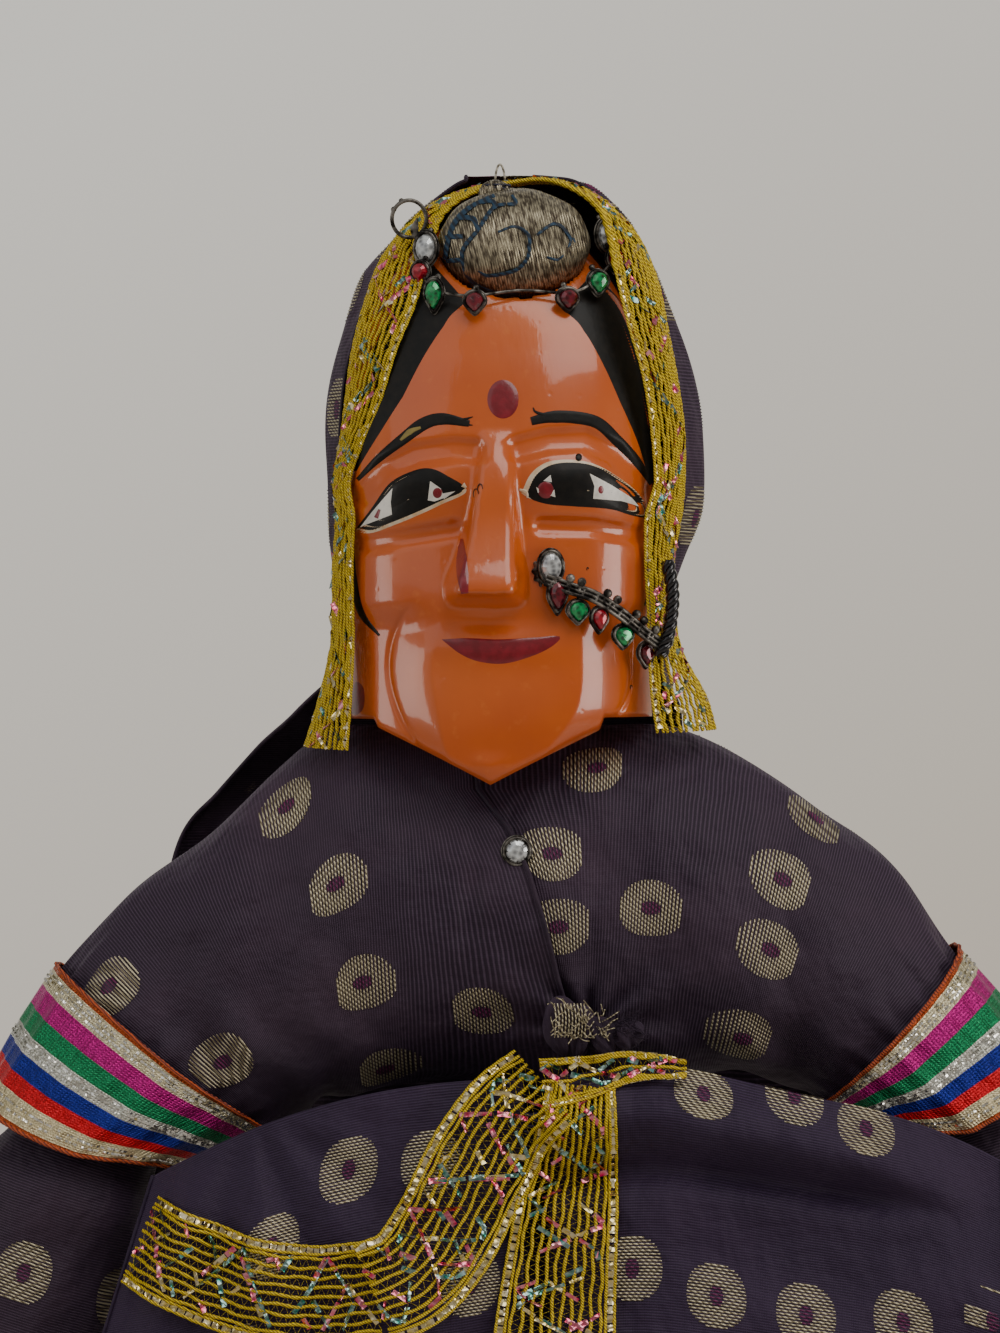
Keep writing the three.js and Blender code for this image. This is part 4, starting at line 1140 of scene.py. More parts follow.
def lace_net(pile, track, rows, count):
    """Fine zigzags from cord to cord."""
    zig = np.where(np.arange(count) % 2 == 0, 1.0, -1.0)
    for low, high in zip(rows[:-1], rows[1:]):
        middle, half = (low + high) / 2, (high - low) / 2
        line, normal = track(middle + half * zig, 0.0)
        pile.ribbon(line, unit(np.cross(np.gradient(line, axis=0), normal)), normal, 0.13, 0.05)


def foil_ladder(pile, line, normal, random):
    """Short tilted rungs of gold foil along an edge."""
    side = unit(np.cross(np.gradient(line, axis=0), normal)) * 0.5
    for k in range(0, len(line) - 2, 2):
        tilt = normal[k] * random.uniform(-0.35, 0.35)
        ahead = line[k + 1] - line[k]
        foil_patch(pile, line[k] + ahead * 0.1 - tilt, line[k] + ahead * 1.75 + tilt, side[k], 1)


def foil_strip(pile, line, normal, kind, random):
    """A broken strip of coloured foil, with a gold patch here and there."""
    for k in range(0, len(line) - 3, 2):
        if random.random() < 0.35:
            continue
        ahead = line[k + 2] - line[k]
        side = unit(np.cross(ahead, normal[k]))
        side = unit(side + normal[k] * random.uniform(-0.9, 0.9)) * random.uniform(0.3, 0.5)
        tilt = normal[k] * random.uniform(-0.3, 0.4)
        end = line[k] + ahead * random.uniform(0.7, 1.05) + tilt
        foil_patch(pile, line[k] - tilt, end, side, 1 if random.random() < 0.18 else kind)


def foil_patch(pile, start, end, side, kind):
    pile.add([start - side, start + side, end + side, end - side], [[0, 1, 2, 3]], kind, True)


# inner edge x, y, z, then outer edge x, y, z, from the right jaw over the crown to the left
BORDER = [
    (-27.5, -15, -96.5, -33.0, -8, -96),
    (-26.8, -15.5, -87.5, -30.4, -8, -87.5),
    (-26.4, -14.5, -77.5, -28.2, -6.5, -77.5),
    (-26.6, -13.5, -66, -27.9, -6, -66),
    (-26.2, -13.5, -57, -27.3, -6, -57),
    (-24.9, -13.8, -50, -27.6, -6.5, -50),
    (-23.0, -15.0, -45, -26.9, -7, -45),
    (-19.8, -17.0, -37.5, -26.0, -7, -37.5),
    (-17.2, -17.0, -29, -24.9, -7, -29),
    (-13.9, -15.2, -20.8, -22.9, -5, -20.8),
    (-11.9, -11.2, -12.5, -19.8, -2, -12.5),
    (-9.5, -6, -5.5, -13.5, 0, -5),
    (-4, -2.5, -1.4, -6, 2.5, -1.2),
    (2.5, -2.5, 0.2, 2.5, 3, 0.0),
    (8, -4, 0.4, 8.5, 2, 0.2),
    (13.2, -6, -1.8, 14.5, 1, -1.4),
    (16.8, -8.5, -5.2, 19.5, -0.5, -5),
    (18.3, -11.4, -10, 23.6, -2.5, -9.6),
    (19.5, -14.6, -17, 26.6, -4.5, -17),
    (21.4, -16.6, -25, 28.2, -6, -25),
    (23.8, -16.8, -33.5, 29.8, -6.5, -33.5),
    (25.3, -15.4, -43, 31, -6.5, -43),
    (26.1, -14, -54, 30.8, -6.5, -54),
    (26.2, -13.4, -64, 29.2, -6.5, -64),
    (26.6, -14, -72, 29.2, -6.5, -72),
    (26.8, -15, -79.5, 30.6, -7, -79.5),
    (27.2, -15.5, -87, 34.6, -8, -87),
    (28.2, -15, -93.5, 36.4, -8, -93),
]


def border_at(u, v):
    """The surface of the lace along the veil's front edge."""
    rows = np.asarray(BORDER, float)
    u, v = paired(u, v)
    row = curve(np.linspace(0, 1, len(rows)), rows, np.clip(u, 0, 1))
    v = np.clip(v, 0, 1)[..., None]
    point = row[..., :3] + (row[..., 3:] - row[..., :3]) * v
    low = smooth((-point[..., 2] - 50) / 8) * (1 - v[..., 0])
    point[..., 0] -= np.sign(point[..., 0]) * 2.0 * low
    point[..., 1] -= 1.6 * low
    bulge = unit(point * np.array((1.0, 1.0, 0.0)))
    return point + bulge * 1.2 * np.sin(np.pi * v)


# ------------------------------------------------------------ veil
# height, half width on the right and on the left, y at the border, y at the back
VEIL_ROWS = [
    (1.7, 0.5, 0.6, 4, 4.6),
    (1.3, 4, 9, 2.6, 7),
    (0.2, 9, 15, 1.5, 13),
    (-4.5, 15.2, 20.5, 0.5, 20),
    (-9, 19, 23.6, -0.8, 24),
    (-16, 25.0, 27.4, -3, 27.5),
    (-28, 28.8, 31.4, -5.5, 29.3),
    (-42, 30.6, 34.6, -6, 30),
    (-54, 30.4, 34.2, -6, 30),
    (-64, 29.2, 30.8, -6, 29.6),
    (-76, 27.6, 28.0, -5, 28.6),
    (-88, 33.5, 29.5, 2, 29),
    (-96, 42.5, 32, 17, 30),
    (-104, 50, 42, 25.2, 31),
    (-112, 56, 52, 26.6, 32),
    (-130, 60, 57, 27, 33.5),
    (-150, 62, 59, 27, 34.5),
    (-172, 64, 61, 27.5, 35),
]


def veil_at(u, v):
    """The surface of the veil, from its right edge to its left and from the crown down."""
    u, v = paired(u, v)
    table = np.asarray(VEIL_ROWS, float)
    row = curve(np.linspace(0, 1, len(table)), table, np.clip(v, 0, 1))
    z, right, left, front, back = (row[..., k] for k in range(5))
    turn = (np.clip(u, 0, 1) - 0.5) * np.pi
    half = np.where(turn < 0, right, left)
    edge = smooth((np.abs(2 * u - 1) - 0.8) / 0.2)
    head = 1 - smooth((-z - 78) / 12)
    swell = np.sin(np.clip(turn * (1 + 0.22 * head), -np.pi / 2, np.pi / 2))
    x = half * (swell - 0.14 * edge * head * np.sign(turn)) + 0.6
    y = front + (back - front) * np.maximum(0, np.cos(turn)) ** 0.62
    fold = 0.9 * np.sin(7 * turn + z / 14) + 0.5 * np.sin(15 * turn - z / 9)
    low = smooth((-z - 84) / 30)
    y = y + fold * (0.25 + low) * np.maximum(0, np.cos(turn)) ** 0.5 + 0.25 * np.sin(z / 3.1 + 4 * turn)
    x = x + 0.35 * np.sin(z / 4.3 + 2 * turn) * np.sin(turn)
    temples = by_height(HEAD_ROWS, z)[0] + 0.8
    short = np.maximum(0, temples - np.abs(x)) * smooth((np.abs(2 * u - 1) - 0.72) / 0.08)
    return np.stack([x + short * np.sign(turn), y, z], -1)


def veil(silk_look, motif_looks, lace_set):
    """The veil with its motifs, its rolled hem, its border lace and the cord along that lace."""
    cloth = Cloth(veil_at, (0.5, 0.4))
    cloth.sign = -cloth.sign if cloth.frame(0.5, 0.4)[1][1] < 0 else cloth.sign
    piece = cloth.sheet("odhni_cloth", 150, 190, silk_look, slot="purple_brocade", replaces=["odhni_veil"])
    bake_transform(piece)
    pile = Pile()
    for u, v in lattice(cloth, 19, 17, 6):
        butti(pile, cloth, u, v)
    motifs = make("odhni_motifs", pile, motif_looks)
    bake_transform(motifs)
    hem = Pile()
    edge = np.linspace(0.01, 0.999, 260)
    for u in (0.002, 0.998):
        line, _ = cloth.line(np.full(260, u), edge)
        hem.tube(line, 0.38, 6)
    line, _ = cloth.line(np.linspace(0, 1, 120), np.full(120, 0.998))
    hem.tube(line, 0.4, 6)
    rolled = make("odhni_hem", hem, [silk_look], slot="purple_brocade")
    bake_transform(rolled)
    border = Cloth(border_at, (0.3, 0.5))
    lace("odhni_border", border, lace_set, "head", ["veil_border_lace"], cords=9, seed=3)
    border_piping(border, lace_set[0])


def border_piping(border, cord_look):
    """Two cords twisted together, along the inner edge of the lace over the crown."""
    piping = Pile()
    u = np.linspace(0.36, 0.66, 120)
    line, _ = border.line(u, 0 * u + 0.02)
    for k in range(2):
        phase = np.linspace(0, 90, 120) + np.pi * k
        twist = np.stack([0.25 * np.cos(phase), 0.25 * np.sin(phase), 0 * phase], -1)
        piping.tube(line + twist, 0.36, 6)
    make("border_piping", piping, [cord_look], "head", "gota_lace")


# ------------------------------------------------------------ bodice and arms
# top x, top z, bottom x, bottom z, half depth, from the middle of the body out to the elbow
SECTIONS = {
    "right": [
        (0, -93.6, 0, -152.5, 21.5),
        (-14, -92.2, -12, -152.5, 21.5),
        (-27, -91.9, -22, -153.5, 20.5),
        (-38, -99.1, -28, -155.6, 19),
        (-52, -111.5, -31, -157.6, 18),
        (-63, -121.5, -33.5, -159.4, 17.2),
        (-72.5, -131, -38, -161.4, 16.5),
        (-79, -141, -45.5, -164, 15.6),
        (-84.5, -150.5, -53.5, -166.5, 15),
    ],
    "left": [
        (0, -93.6, 0, -152.5, 21.5),
        (14, -92.2, 12, -151.8, 21.5),
        (29, -91.9, 24, -151, 20.5),
        (46.5, -100.3, 36, -151.6, 19),
        (58, -107.8, 43, -152.6, 17.8),
        (68, -118, 49, -153.8, 16.6),
        (77, -130.5, 54.8, -155.6, 15.2),
        (85.8, -141.4, 62, -160.4, 14.6),
        (93, -152.5, 70, -165.5, 14),
    ],
}
# the placket's edge, as an x for each height
PLACKET_Z = [-152, -141, -134, -124, -116, -109, -102.5, -95]
PLACKET_X = [13, 12, 10, 7.5, 5, 1.7, -3.3, -4]
BODICE_END = 7 / 8


def section(side, v, angle, out=0.0):
    """A point on the stuffed trunk and upper arm, at a share v of the way to the elbow."""
    rows = np.asarray(SECTIONS[side], float)
    v = np.asarray(v, float)
    past = np.maximum(v - 1, 0)[..., None] * (len(rows) - 1)
    row = curve(np.linspace(0, 1, len(rows)), rows, v) + past * (rows[-1] - rows[-2])
    top, bottom, depth = row[..., 0:2], row[..., 2:4], row[..., 4]
    across = top - bottom
    half = np.linalg.norm(across, axis=-1) / 2
    across = across / (2 * half[..., None])
    middle = (top + bottom) / 2
    reach = (half + out) * np.cos(angle)
    x = middle[..., 0] + across[..., 0] * reach
    z = middle[..., 1] + across[..., 1] * reach
    y = 1 - v - (depth + out) * np.sin(angle)
    return np.stack([x, y, z], -1)


def bodice_at(side):
    """The surface of half the blouse, round the body and out to the elbow."""

    def at(u, v):
        u, v = paired(u, v)
        angle = 2 * np.pi * u
        gathers = 0.55 * np.sin(2 * np.pi * 17 * u) + 0.35 * np.sin(2 * np.pi * 29 * u)
        gathers = smooth((v - 0.72) / 0.28) * gathers
        whole = np.sin(np.pi * v)
        slack = 0.6 * np.sin(9 * v + 2 * angle) * whole + 0.35 * np.sin(21 * v - 4 * angle) * whole
        slack = slack + 0.4 * np.sin(13 * v + 3 * angle + 1.5 * np.sin(6 * v)) * whole
        out = gathers + 1.35 * slack - 0.25
        point = section(side, v * BODICE_END, angle, out)
        front = smooth(3 * np.sin(angle))
        near = 1 - smooth(v / 0.2)
        edge = np.interp(point[..., 2], PLACKET_Z, PLACKET_X)
        if side == "right":
            point[..., 0] += near * front * edge
            point[..., 1] -= 0.85 * near * front
        else:
            point[..., 0] += near * front * (edge - 5)
            point[..., 1] += 0.5 * near * front
        crease = np.exp(-(((point[..., 0] + 4.5 - 0.1 * (point[..., 2] + 120)) / 1.6) ** 2))
        crease = crease * np.exp(-(((point[..., 2] + 122) / 17) ** 2)) * front
        point[..., 1] += 0.8 * crease * (side == "right")
        sag = hill(np.abs(point[..., 0]), point[..., 2], 42, -146, 16, 5)
        point[..., 1] += front * sag * 0.9 * np.sin(point[..., 0] / 2.6 + point[..., 2] / 3)
        knot = np.exp(-(((point[..., 2] + 141) / 9) ** 2))
        pull = knot * front * (1 - smooth((np.abs(point[..., 0] - 15) - 4) / 26))
        ray = np.arctan2(point[..., 2] + 143, point[..., 0] - 15)
        point[..., 1] += pull * (1.0 + 0.9 * np.sin(9 * ray))
        return point

    return at


# the motifs in sight, as x and z
RIGHT_MOTIFS = [
    (-36, -105.4), (-27.2, -118.6), (-23, -134.9), (-65.7, -135.8),
    (-19.2, -149.6), (-3.2, -139.5), (-46.5, -148),
]
LEFT_MOTIFS = [
    (16.4, -98.8), (8.6, -112.8), (9.8, -125.8), (53.3, -107.6), (47.2, -117.5),
    (45.3, -129.5), (40.8, -144.1), (25.2, -122.6),
]


def bodice(side, silk_look, motif_looks):
    """Half the blouse with its motifs, and on the right the rolled edge of the placket."""
    cloth = Cloth(bodice_at(side), (0.25, 0.5))
    nodes = [f"bodice_{side}", f"upper_arm_stuffing_{side}"]
    if side == "right":
        nodes.append("torso_stuffing")
    piece = cloth.sheet(f"blouse_{side}", 300, 130, silk_look, slot="purple_brocade", replaces=nodes)
    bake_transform(piece)
    pile = Pile()
    for x, z in RIGHT_MOTIFS if side == "right" else LEFT_MOTIFS:
        u, v = cloth.find(x, z)
        butti(pile, cloth, u, v)
    for u in (0.62, 0.75, 0.88, 0.98):
        for v in (0.12, 0.36, 0.6, 0.84):
            butti(pile, cloth, u + 0.03 * (int(v * 100) % 2), v)
    motifs = make(f"blouse_motifs_{side}", pile, motif_looks)
    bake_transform(motifs)
    if side == "right":
        edge = Pile()
        u = np.linspace(0.02, 0.48, 120)
        line, normal = cloth.line(u, np.full(120, 0.004))
        edge.tube(line + normal * 0.1, 0.45, 7)
        make("placket_edge", edge, [silk_look], "torso", "purple_brocade")


# each edge of the armband, as a share of the way to the elbow: outside, added in front, added below
ARMBAND_EDGES = {
    "right": ((0.78, 0.0, -0.03), (1.05, 0.04, -0.06)),
    "left": ((0.75, 0.015, 0.0), (1.03, -0.035, -0.12)),
}


def armband_at(side):
    """The surface of the ribbon tied round the upper arm."""

    def at(u, v):
        u, v = paired(u, v)
        angle = 2 * np.pi * u
        low = smooth((-np.cos(angle) - 0.1) / 0.9)
        upper, lower = (a + b * np.sin(angle) + c * low for a, b, c in ARMBAND_EDGES[side])
        along = upper + (lower - upper) * v
        cinch = 0.35 * np.sin(11 * angle + 2 * v) * np.sin(np.pi * v) + 0.25 * np.sin(23 * angle)
        return section(side, along, angle, 1.3 + 0.4 * v + cinch * 0.7)

    return at


# how far down the ribbon each row of tinsel lies
TINSEL_ROWS = (0.06, 0.09, 0.12, 0.46, 0.49, 0.52, 0.86, 0.91)


def armband(side):
    """The woven ribbon, its two orange thread edges and its silver tinsel."""
    body = f"upper_arm_{side}"
    slot = "metallic_ribbon"
    cloth = Cloth(armband_at(side), (0.25, 0.5))
    ribbon = armband_ribbon(cloth.long * MM)
    nodes = [f"armband_{side}"]
    piece = cloth.sheet(f"woven_armband_{side}", 320, 40, ribbon, slot=slot, replaces=nodes, body=body)
    edges = Pile()
    u = np.linspace(0, 1, 300)
    for v in (0.0, 1.0):
        line, _ = cloth.line(u, np.full(300, v), 0.05)
        edges.tube(line, 0.34 + 0.08 * np.sin(u * 2 * np.pi * 150), 6)
    tinsel = armband_tinsel(cloth, np.random.default_rng(31 if side == "right" else 32))
    silver = foil("silver_tinsel", colour(228, 226, 218), 0.16)
    make(f"armband_tinsel_{side}", tinsel, [silver], body, slot)
    orange = thread("orange_thread", colour(196, 84, 34), colour(110, 36, 18), 0, 0.6, 4200)
    make(f"armband_edges_{side}", edges, [orange], body, slot)


def armband_tinsel(cloth, random):
    """Short tilted flakes of silver in rows along the ribbon."""
    tinsel = Pile()
    u = np.linspace(0, 1, int(cloth.wide / 0.62))
    for v in TINSEL_ROWS:
        line, normal = cloth.line(u, np.full(len(u), v), 0.12)
        for k in range(len(u) - 1):
            if random.random() < 0.3:
                continue
            ahead = (line[k + 1] - line[k]) * random.uniform(0.7, 1.1)
            across = unit(np.cross(ahead, normal[k])) * 0.2
            tilt = normal[k] * random.uniform(-0.16, 0.2)
            foil_patch(tinsel, line[k] - tilt, line[k] + ahead + tilt, across, 0)
    return tinsel


FOREARM = {
    "right": {"pivot": (-75.4, -173.0), "ahead": (-0.31, -0.951), "half": 14.5},
    "left": {"pivot": (88.4, -173.4), "ahead": (0.3, -0.954), "half": 13.5},
}
WRIST = 9.5
FOREARM_LENGTH = 76
HAND_LENGTH = 27
# distance past the wrist, half width, half thickness
HAND_ROWS = [
    (-3, 8.4, 7.4),
    (0, 8.4, 7.2),
    (5, 8.1, 6.5),
    (14, 9.3, 5.4),
    (20, 8.6, 4.8),
    (25, 5.6, 3.4),
    (27.2, 1.6, 1.2),
]


def arm_point(side, along, across, deep):
    """A point of the forearm: along it, across it, and forwards."""
    arm = FOREARM[side]
    (px, pz), (ax, az) = arm["pivot"], arm["ahead"]
    return np.stack([px + ax * along - az * across, -deep + 0 * along, pz + az * along + ax * across], -1)


def sleeve_at(side, start=-21.0, end=77.6, out=1.2):
    """The surface of the forearm's sleeve, from under the armband to the wrist."""
    half = FOREARM[side]["half"]
    inwards = 1 if side == "right" else -1

    def at(u, v):
        u, v = paired(u, v)
        angle = 2 * np.pi * u
        along = start + (end - start) * v
        t = np.clip(along / FOREARM_LENGTH, 0, 1)
        under = smooth((-along - 2) / 9)
        tuck = 2.9 * under + 2.0 * smooth((along - 72.5) / 4.5)
        wide = half + (WRIST - half) * t * t + out - tuck
        deep = np.minimum(12.5, wide * 0.92) + out + 0.6 - 0.8 * tuck
        ruck = 0.5 * np.sin(along / 2.6 + 2 * np.sin(angle)) * (1 - smooth((along - 4) / 30))
        folds = 0.45 * np.sin(3 * angle + along / 11) + 0.25 * np.sin(8 * angle - along / 6)
        lift = (ruck + folds * 0.7) * (1 - under)
        across = (wide + lift) * np.cos(angle) + 1.5 * inwards * under
        return arm_point(side, along, across, (deep + lift) * np.sin(angle))

    return at


def forearm(side, silk_look, motif_looks, lace_set, hand_look, string_look):
    """The sleeve with its motifs, the cuff's lace, the hand and the hand's string loop."""
    arm_axis, pivot = (np.insert(FOREARM[side][key], 1, 0) for key in ("ahead", "pivot"))
    upper, lower = f"upper_arm_{side}", f"forearm_{side}"
    cloth = Cloth(sleeve_at(side), (0.25, 0.5))
    nodes = [f"sleeve_{side}", f"forearm_stuffing_{side}"]
    piece = cloth.sheet(f"sleeve_cloth_{side}", 140, 120, silk_look, slot="purple_brocade", replaces=nodes)
    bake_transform(piece)
    pile = Pile()
    for row, v in enumerate((0.33, 0.5, 0.67)):
        for k in range(5):
            butti(pile, cloth, 0.06 + 0.2 * k + 0.1 * (row % 2), v)
    motifs = make(f"sleeve_motifs_{side}", pile, motif_looks)
    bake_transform(motifs)
    band = Cloth(sleeve_at(side, 55.0, 70.0, 2.7), (0.25, 0.5))
    lace(f"cuff_lace_{side}", band, lace_set, lower, [f"cuff_{side}"], cords=6, seed=9, closed=True)
    hand(side, hand_look)
    loop = Pile()
    turn = around(32)
    centre = pivot + arm_axis * (FOREARM_LENGTH + HAND_LENGTH + 3.6)
    ring = centre + np.outer(2.5 * np.cos(turn), arm_axis) + np.outer(1.2 * np.sin(turn), (0, 1.0, 0))
    loop.tube(ring, 0.3, 7, closed=True)
    make(f"hand_string_loop_{side}", loop, [string_look], lower, "string", [f"hand_loop_{side}"])


def hand(side, hand_look):
    """A stuffed cloth mitten with stitched finger lines and a small thumb."""
    along = np.linspace(-2.5, HAND_LENGTH, 48)
    shape = curve([row[0] for row in HAND_ROWS], [row[1:] for row in HAND_ROWS], along)
    angle = around(80)
    wide = shape[:, :1] * np.cos(angle)
    deep = shape[:, 1:] * np.sin(angle)
    fingers = smooth((along - 11) / 3)[:, None]
    for offset in (-4.4, 0.0, 4.4):
        deep = deep * (1 - 0.3 * fingers * np.exp(-(((wide - offset) / 0.5) ** 2)))
    start = FOREARM_LENGTH + along[:, None] + 0 * wide
    pile = Pile()
    pile.grid(arm_point(side, start, wide, deep), wrap=True)
    inward = 1 if side == "right" else -1
    thumb = path([(6, 7.2), (9.5, 10.2), (14, 11.2)], 16)
    line = arm_point(side, FOREARM_LENGTH + thumb[:, 0], inward * thumb[:, 1], 0 * thumb[:, 0])
    pile.tube(line, 2.3 * np.sqrt(1 - np.linspace(0, 0.97, 16) ** 4), 12)
    piece = make(f"cloth_hand_{side}", pile, [hand_look], f"forearm_{side}", "hand_cloth", [f"hand_{side}"])


# ------------------------------------------------------------ waist knot and strings
KNOT = np.array((15.0, -20.9, -142.4))
# each lobe of the knot: x and z from its middle, half width, half height, lean
KNOT_LOBES = [
    (-4.6, 0.6, 3.0, 5.0, 0.12),
    (-1.6, -0.4, 2.4, 4.4, -0.18),
    (1.8, -1.2, 2.8, 3.4, 0.5),
    (5.6, -1.0, 3.2, 2.6, 0.3),
]


def waist_knot(silk_look, motif_looks):
    """The blouse's two lower corners, twisted together with their frayed threads."""
    pile = Pile()
    for dx, dz, rx, rz, tilt in KNOT_LOBES:
        polar = np.linspace(0.03, np.pi - 0.03, 26)[:, None]
        turn = around(48)[None]
        crease = 1 + 0.16 * np.sin(5 * turn + 6 * tilt + polar) * np.sin(polar)
        crease = crease + 0.1 * np.sin(11 * turn - 3 * polar)
        a, b, c = np.moveaxis(globe(polar, turn, crease) * (rx, 2.7, rz), -1, 0)
        x = dx + a * math.cos(tilt) - c * math.sin(tilt)
        z = dz + a * math.sin(tilt) + c * math.cos(tilt)
        pile.grid(KNOT + np.stack([x, b, z], -1), wrap=True, uv=np.stack([a * 3, c * 3], -1))
    make("waist_knot_cloth", pile, [silk_look], "torso", "purple_brocade", ["waist_knot"])
    random = np.random.default_rng(5)
    frayed_threads(motif_looks[0], random)
    frayed_tuft(silk_look, random)


def frayed_threads(metal_look, random):
    """Loose metal threads over the knot, and ten that still lie side by side."""
    frayed = Pile()
    for _ in range(46):
        start = KNOT + np.array((random.uniform(-6, 3), -2.6, random.uniform(-1, 3.8)))
        lean = np.array((random.uniform(-2.5, 3), random.uniform(-1.8, -0.4), random.uniform(-1.8, 2.8)))
        middle = start + lean * 0.5 + np.array((0, random.uniform(-1.2, 0), random.uniform(-0.8, 0.8)))
        frayed.tube(path([start, middle, start + lean], 9), 0.1, 4)
    for k in range(10):
        x = KNOT[0] - 6 + k * 0.55
        line = path([(x, -23.4, -138.0), (x + 0.3, -24.2, -140.4), (x + 0.1, -23.8, -143.6)], 10)
        frayed.tube(line, 0.14, 5)
    make("frayed_metal_threads", frayed, [metal_look], "torso")


def frayed_tuft(silk_look, random):
    """The tuft of loose silk at the knot's left end."""
    tuft = Pile()
    for _ in range(110):
        start = np.array((20.0, -22.6, -142.6)) + random.normal(0, 0.9, 3)
        lean = np.array((random.uniform(0, 3.2), random.uniform(-1.2, 0.4), random.uniform(-1.8, 2.4)))
        tuft.tube(np.stack([start, start + lean * 0.6, start + lean + random.normal(0, 0.4, 3)]), 0.08, 4)
    make("frayed_silk_tuft", tuft, [silk_look], "torso", "purple_brocade")


def neck_threads():
    """Four turns of thread that tie the blouse to the neck."""
    binding = Pile()
    turn = around(60)
    reach = NECK["radius"] + 1.2
    for k in range(4):
        z = -94.0 - 0.35 * k + 0.1 * np.sin(3 * turn)
        ring = np.stack([reach * np.cos(turn), NECK["y"] + reach * np.sin(turn), z], -1)
        binding.tube(ring, 0.42, 6, closed=True)
    dark = thread("binding_thread", colour(44, 34, 60), colour(16, 12, 24))
    make("neck_threads", binding, [dark], "torso", "binding_thread", ["neck_binding"])


def string_loops(string_look):
    """The loops at the back of the waist and on the crown, where the strings tie."""
    turn = around(32)
    back = np.stack([0 * turn, 19.6 + 1.2 * np.sin(turn), -159.5 + 2.4 * np.cos(turn)], -1)
    crown = np.stack([0.9 * np.cos(turn), 0 * turn, -0.6 + 4 * np.sin(turn)], -1)
    for name, ring, radius, body, part in (
        ("back_string_loop", back, 0.28, "skirt", "back_loop"),
        ("crown_string_loop", crown, 0.2, "head", "crown_loop"),
    ):
        loop = Pile()
        loop.tube(ring, radius, 7, closed=True)
        make(name, loop, [string_look], body, "string", [part])


# ------------------------------------------------------------ skirt
WAIST_Z = -160.4
HEM_Z = -498.0
HEM_LACE = 21
PLEATS = 16
# height, half width, half depth, pleat depth
SKIRT_ROWS = [
    (-160, 22.5, 16, 0.4),
    (-163, 24, 17, 0.5),
    (-180, 34, 23, 1.5),
    (-220, 47, 31, 2.6),
    (-290, 62, 42, 4),
    (-400, 85, 57, 5.4),
    (-498, 104, 70, 6.4),
]


def skirt_at(low, high, out=0.0):
    """The surface of the pleated skirt between two heights."""

    def at(u, v):
        u, v = paired(u, v)
        z = high + (low - high) * v
        half, deep, pleat = by_height(SKIRT_ROWS, z)
        angle = 2 * np.pi * u
        drift = 0.18 * np.sin(3 * angle) + 0.1 * np.sin(z / 60)
        wave = np.cos(PLEATS * (angle + drift * 0.35)) + 0.22 * np.cos(2 * PLEATS * angle + 1 + z / 80)
        small = 0.16 * np.sin(37 * angle + z / 30)
        lift = pleat * (wave * 0.85 + small)
        x = (half + lift + out) * np.sin(angle)
        return np.stack([x, 1 - (deep + lift + out) * np.cos(angle), z], -1)

    return at


def skirt(silk_look, motif_looks, lace_set, band_look):
    """The pleated skirt with its motifs, its hem lace and the cords of its waistband."""
    cloth = Cloth(skirt_at(HEM_Z, WAIST_Z), (0.0, 0.5))
    slot = "violet_brocade"
    piece = cloth.sheet("pleated_skirt", 620, 110, silk_look, slot=slot, replaces=["ghagra"], body="skirt")
    pile = Pile()
    for row in range(15):
        v = 0.09 + row * 0.0575
        count = int(10 + row * 1.1)
        for k in range(count):
            u = (k + 0.5 * (row % 2)) / count
            if 0.02 < u < 0.98:
                butti(pile, cloth, u, v)
    make("skirt_motifs", pile, motif_looks, "skirt")
    hem = Cloth(skirt_at(HEM_Z, HEM_Z + HEM_LACE, 1.2), (0.0, 0.5))
    lace("hem_lace", hem, lace_set, "skirt", ["hem_gota"], cords=7, seed=12, closed=True)
    pile = Pile()
    turn = around(240)
    for k in range(6):
        z = -157.3 - 0.95 * k + 0.12 * np.sin(20 * turn)
        ring = np.stack([22 * np.sin(turn), 1 - 15.4 * np.cos(turn), z], -1)
        pile.tube(ring, 0.62, 6, closed=True)
    make("waist_cord", pile, [band_look], "skirt", slot, ["waistband"])


def wrap_right_at(u, v):
    """The surface of the veil's end on the right, from its tucked top down."""
    u, v = paired(u, v)
    over = np.clip((v - 0.12) / 0.88, 0, 1)
    back = 1 - smooth(v / 0.12)
    x = 4 - 62.5 * u - 12.5 * over * u * u
    top = -150.6 - 17 * u**2.2
    low = -198 - 10 * u
    z = top + (low - top) * over - 6 * back
    y = -21.6 - 1.5 * np.sin(np.pi * u) - 1.5 * np.sin(np.pi * over) - 7 * over * (1 - 0.3 * u)
    y = y + 7 * back * (1 - 0.5 * u) + 7 * smooth((u - 0.82) / 0.18) ** 2
    rays = np.arctan2(z + 152, x + 42)
    creases = np.sin(13 * rays + 3 * u) * np.exp(-(((u - 0.7) / 0.4) ** 2))
    y = y - 1.1 * creases * np.sin(np.pi * np.clip(over * 1.1, 0, 1)) - 0.6 * np.sin(6 * u + 9 * over)
    y = y - 1.3 * np.sin(14 * u - 2) * over**3
    return np.stack([x, y, z], -1)


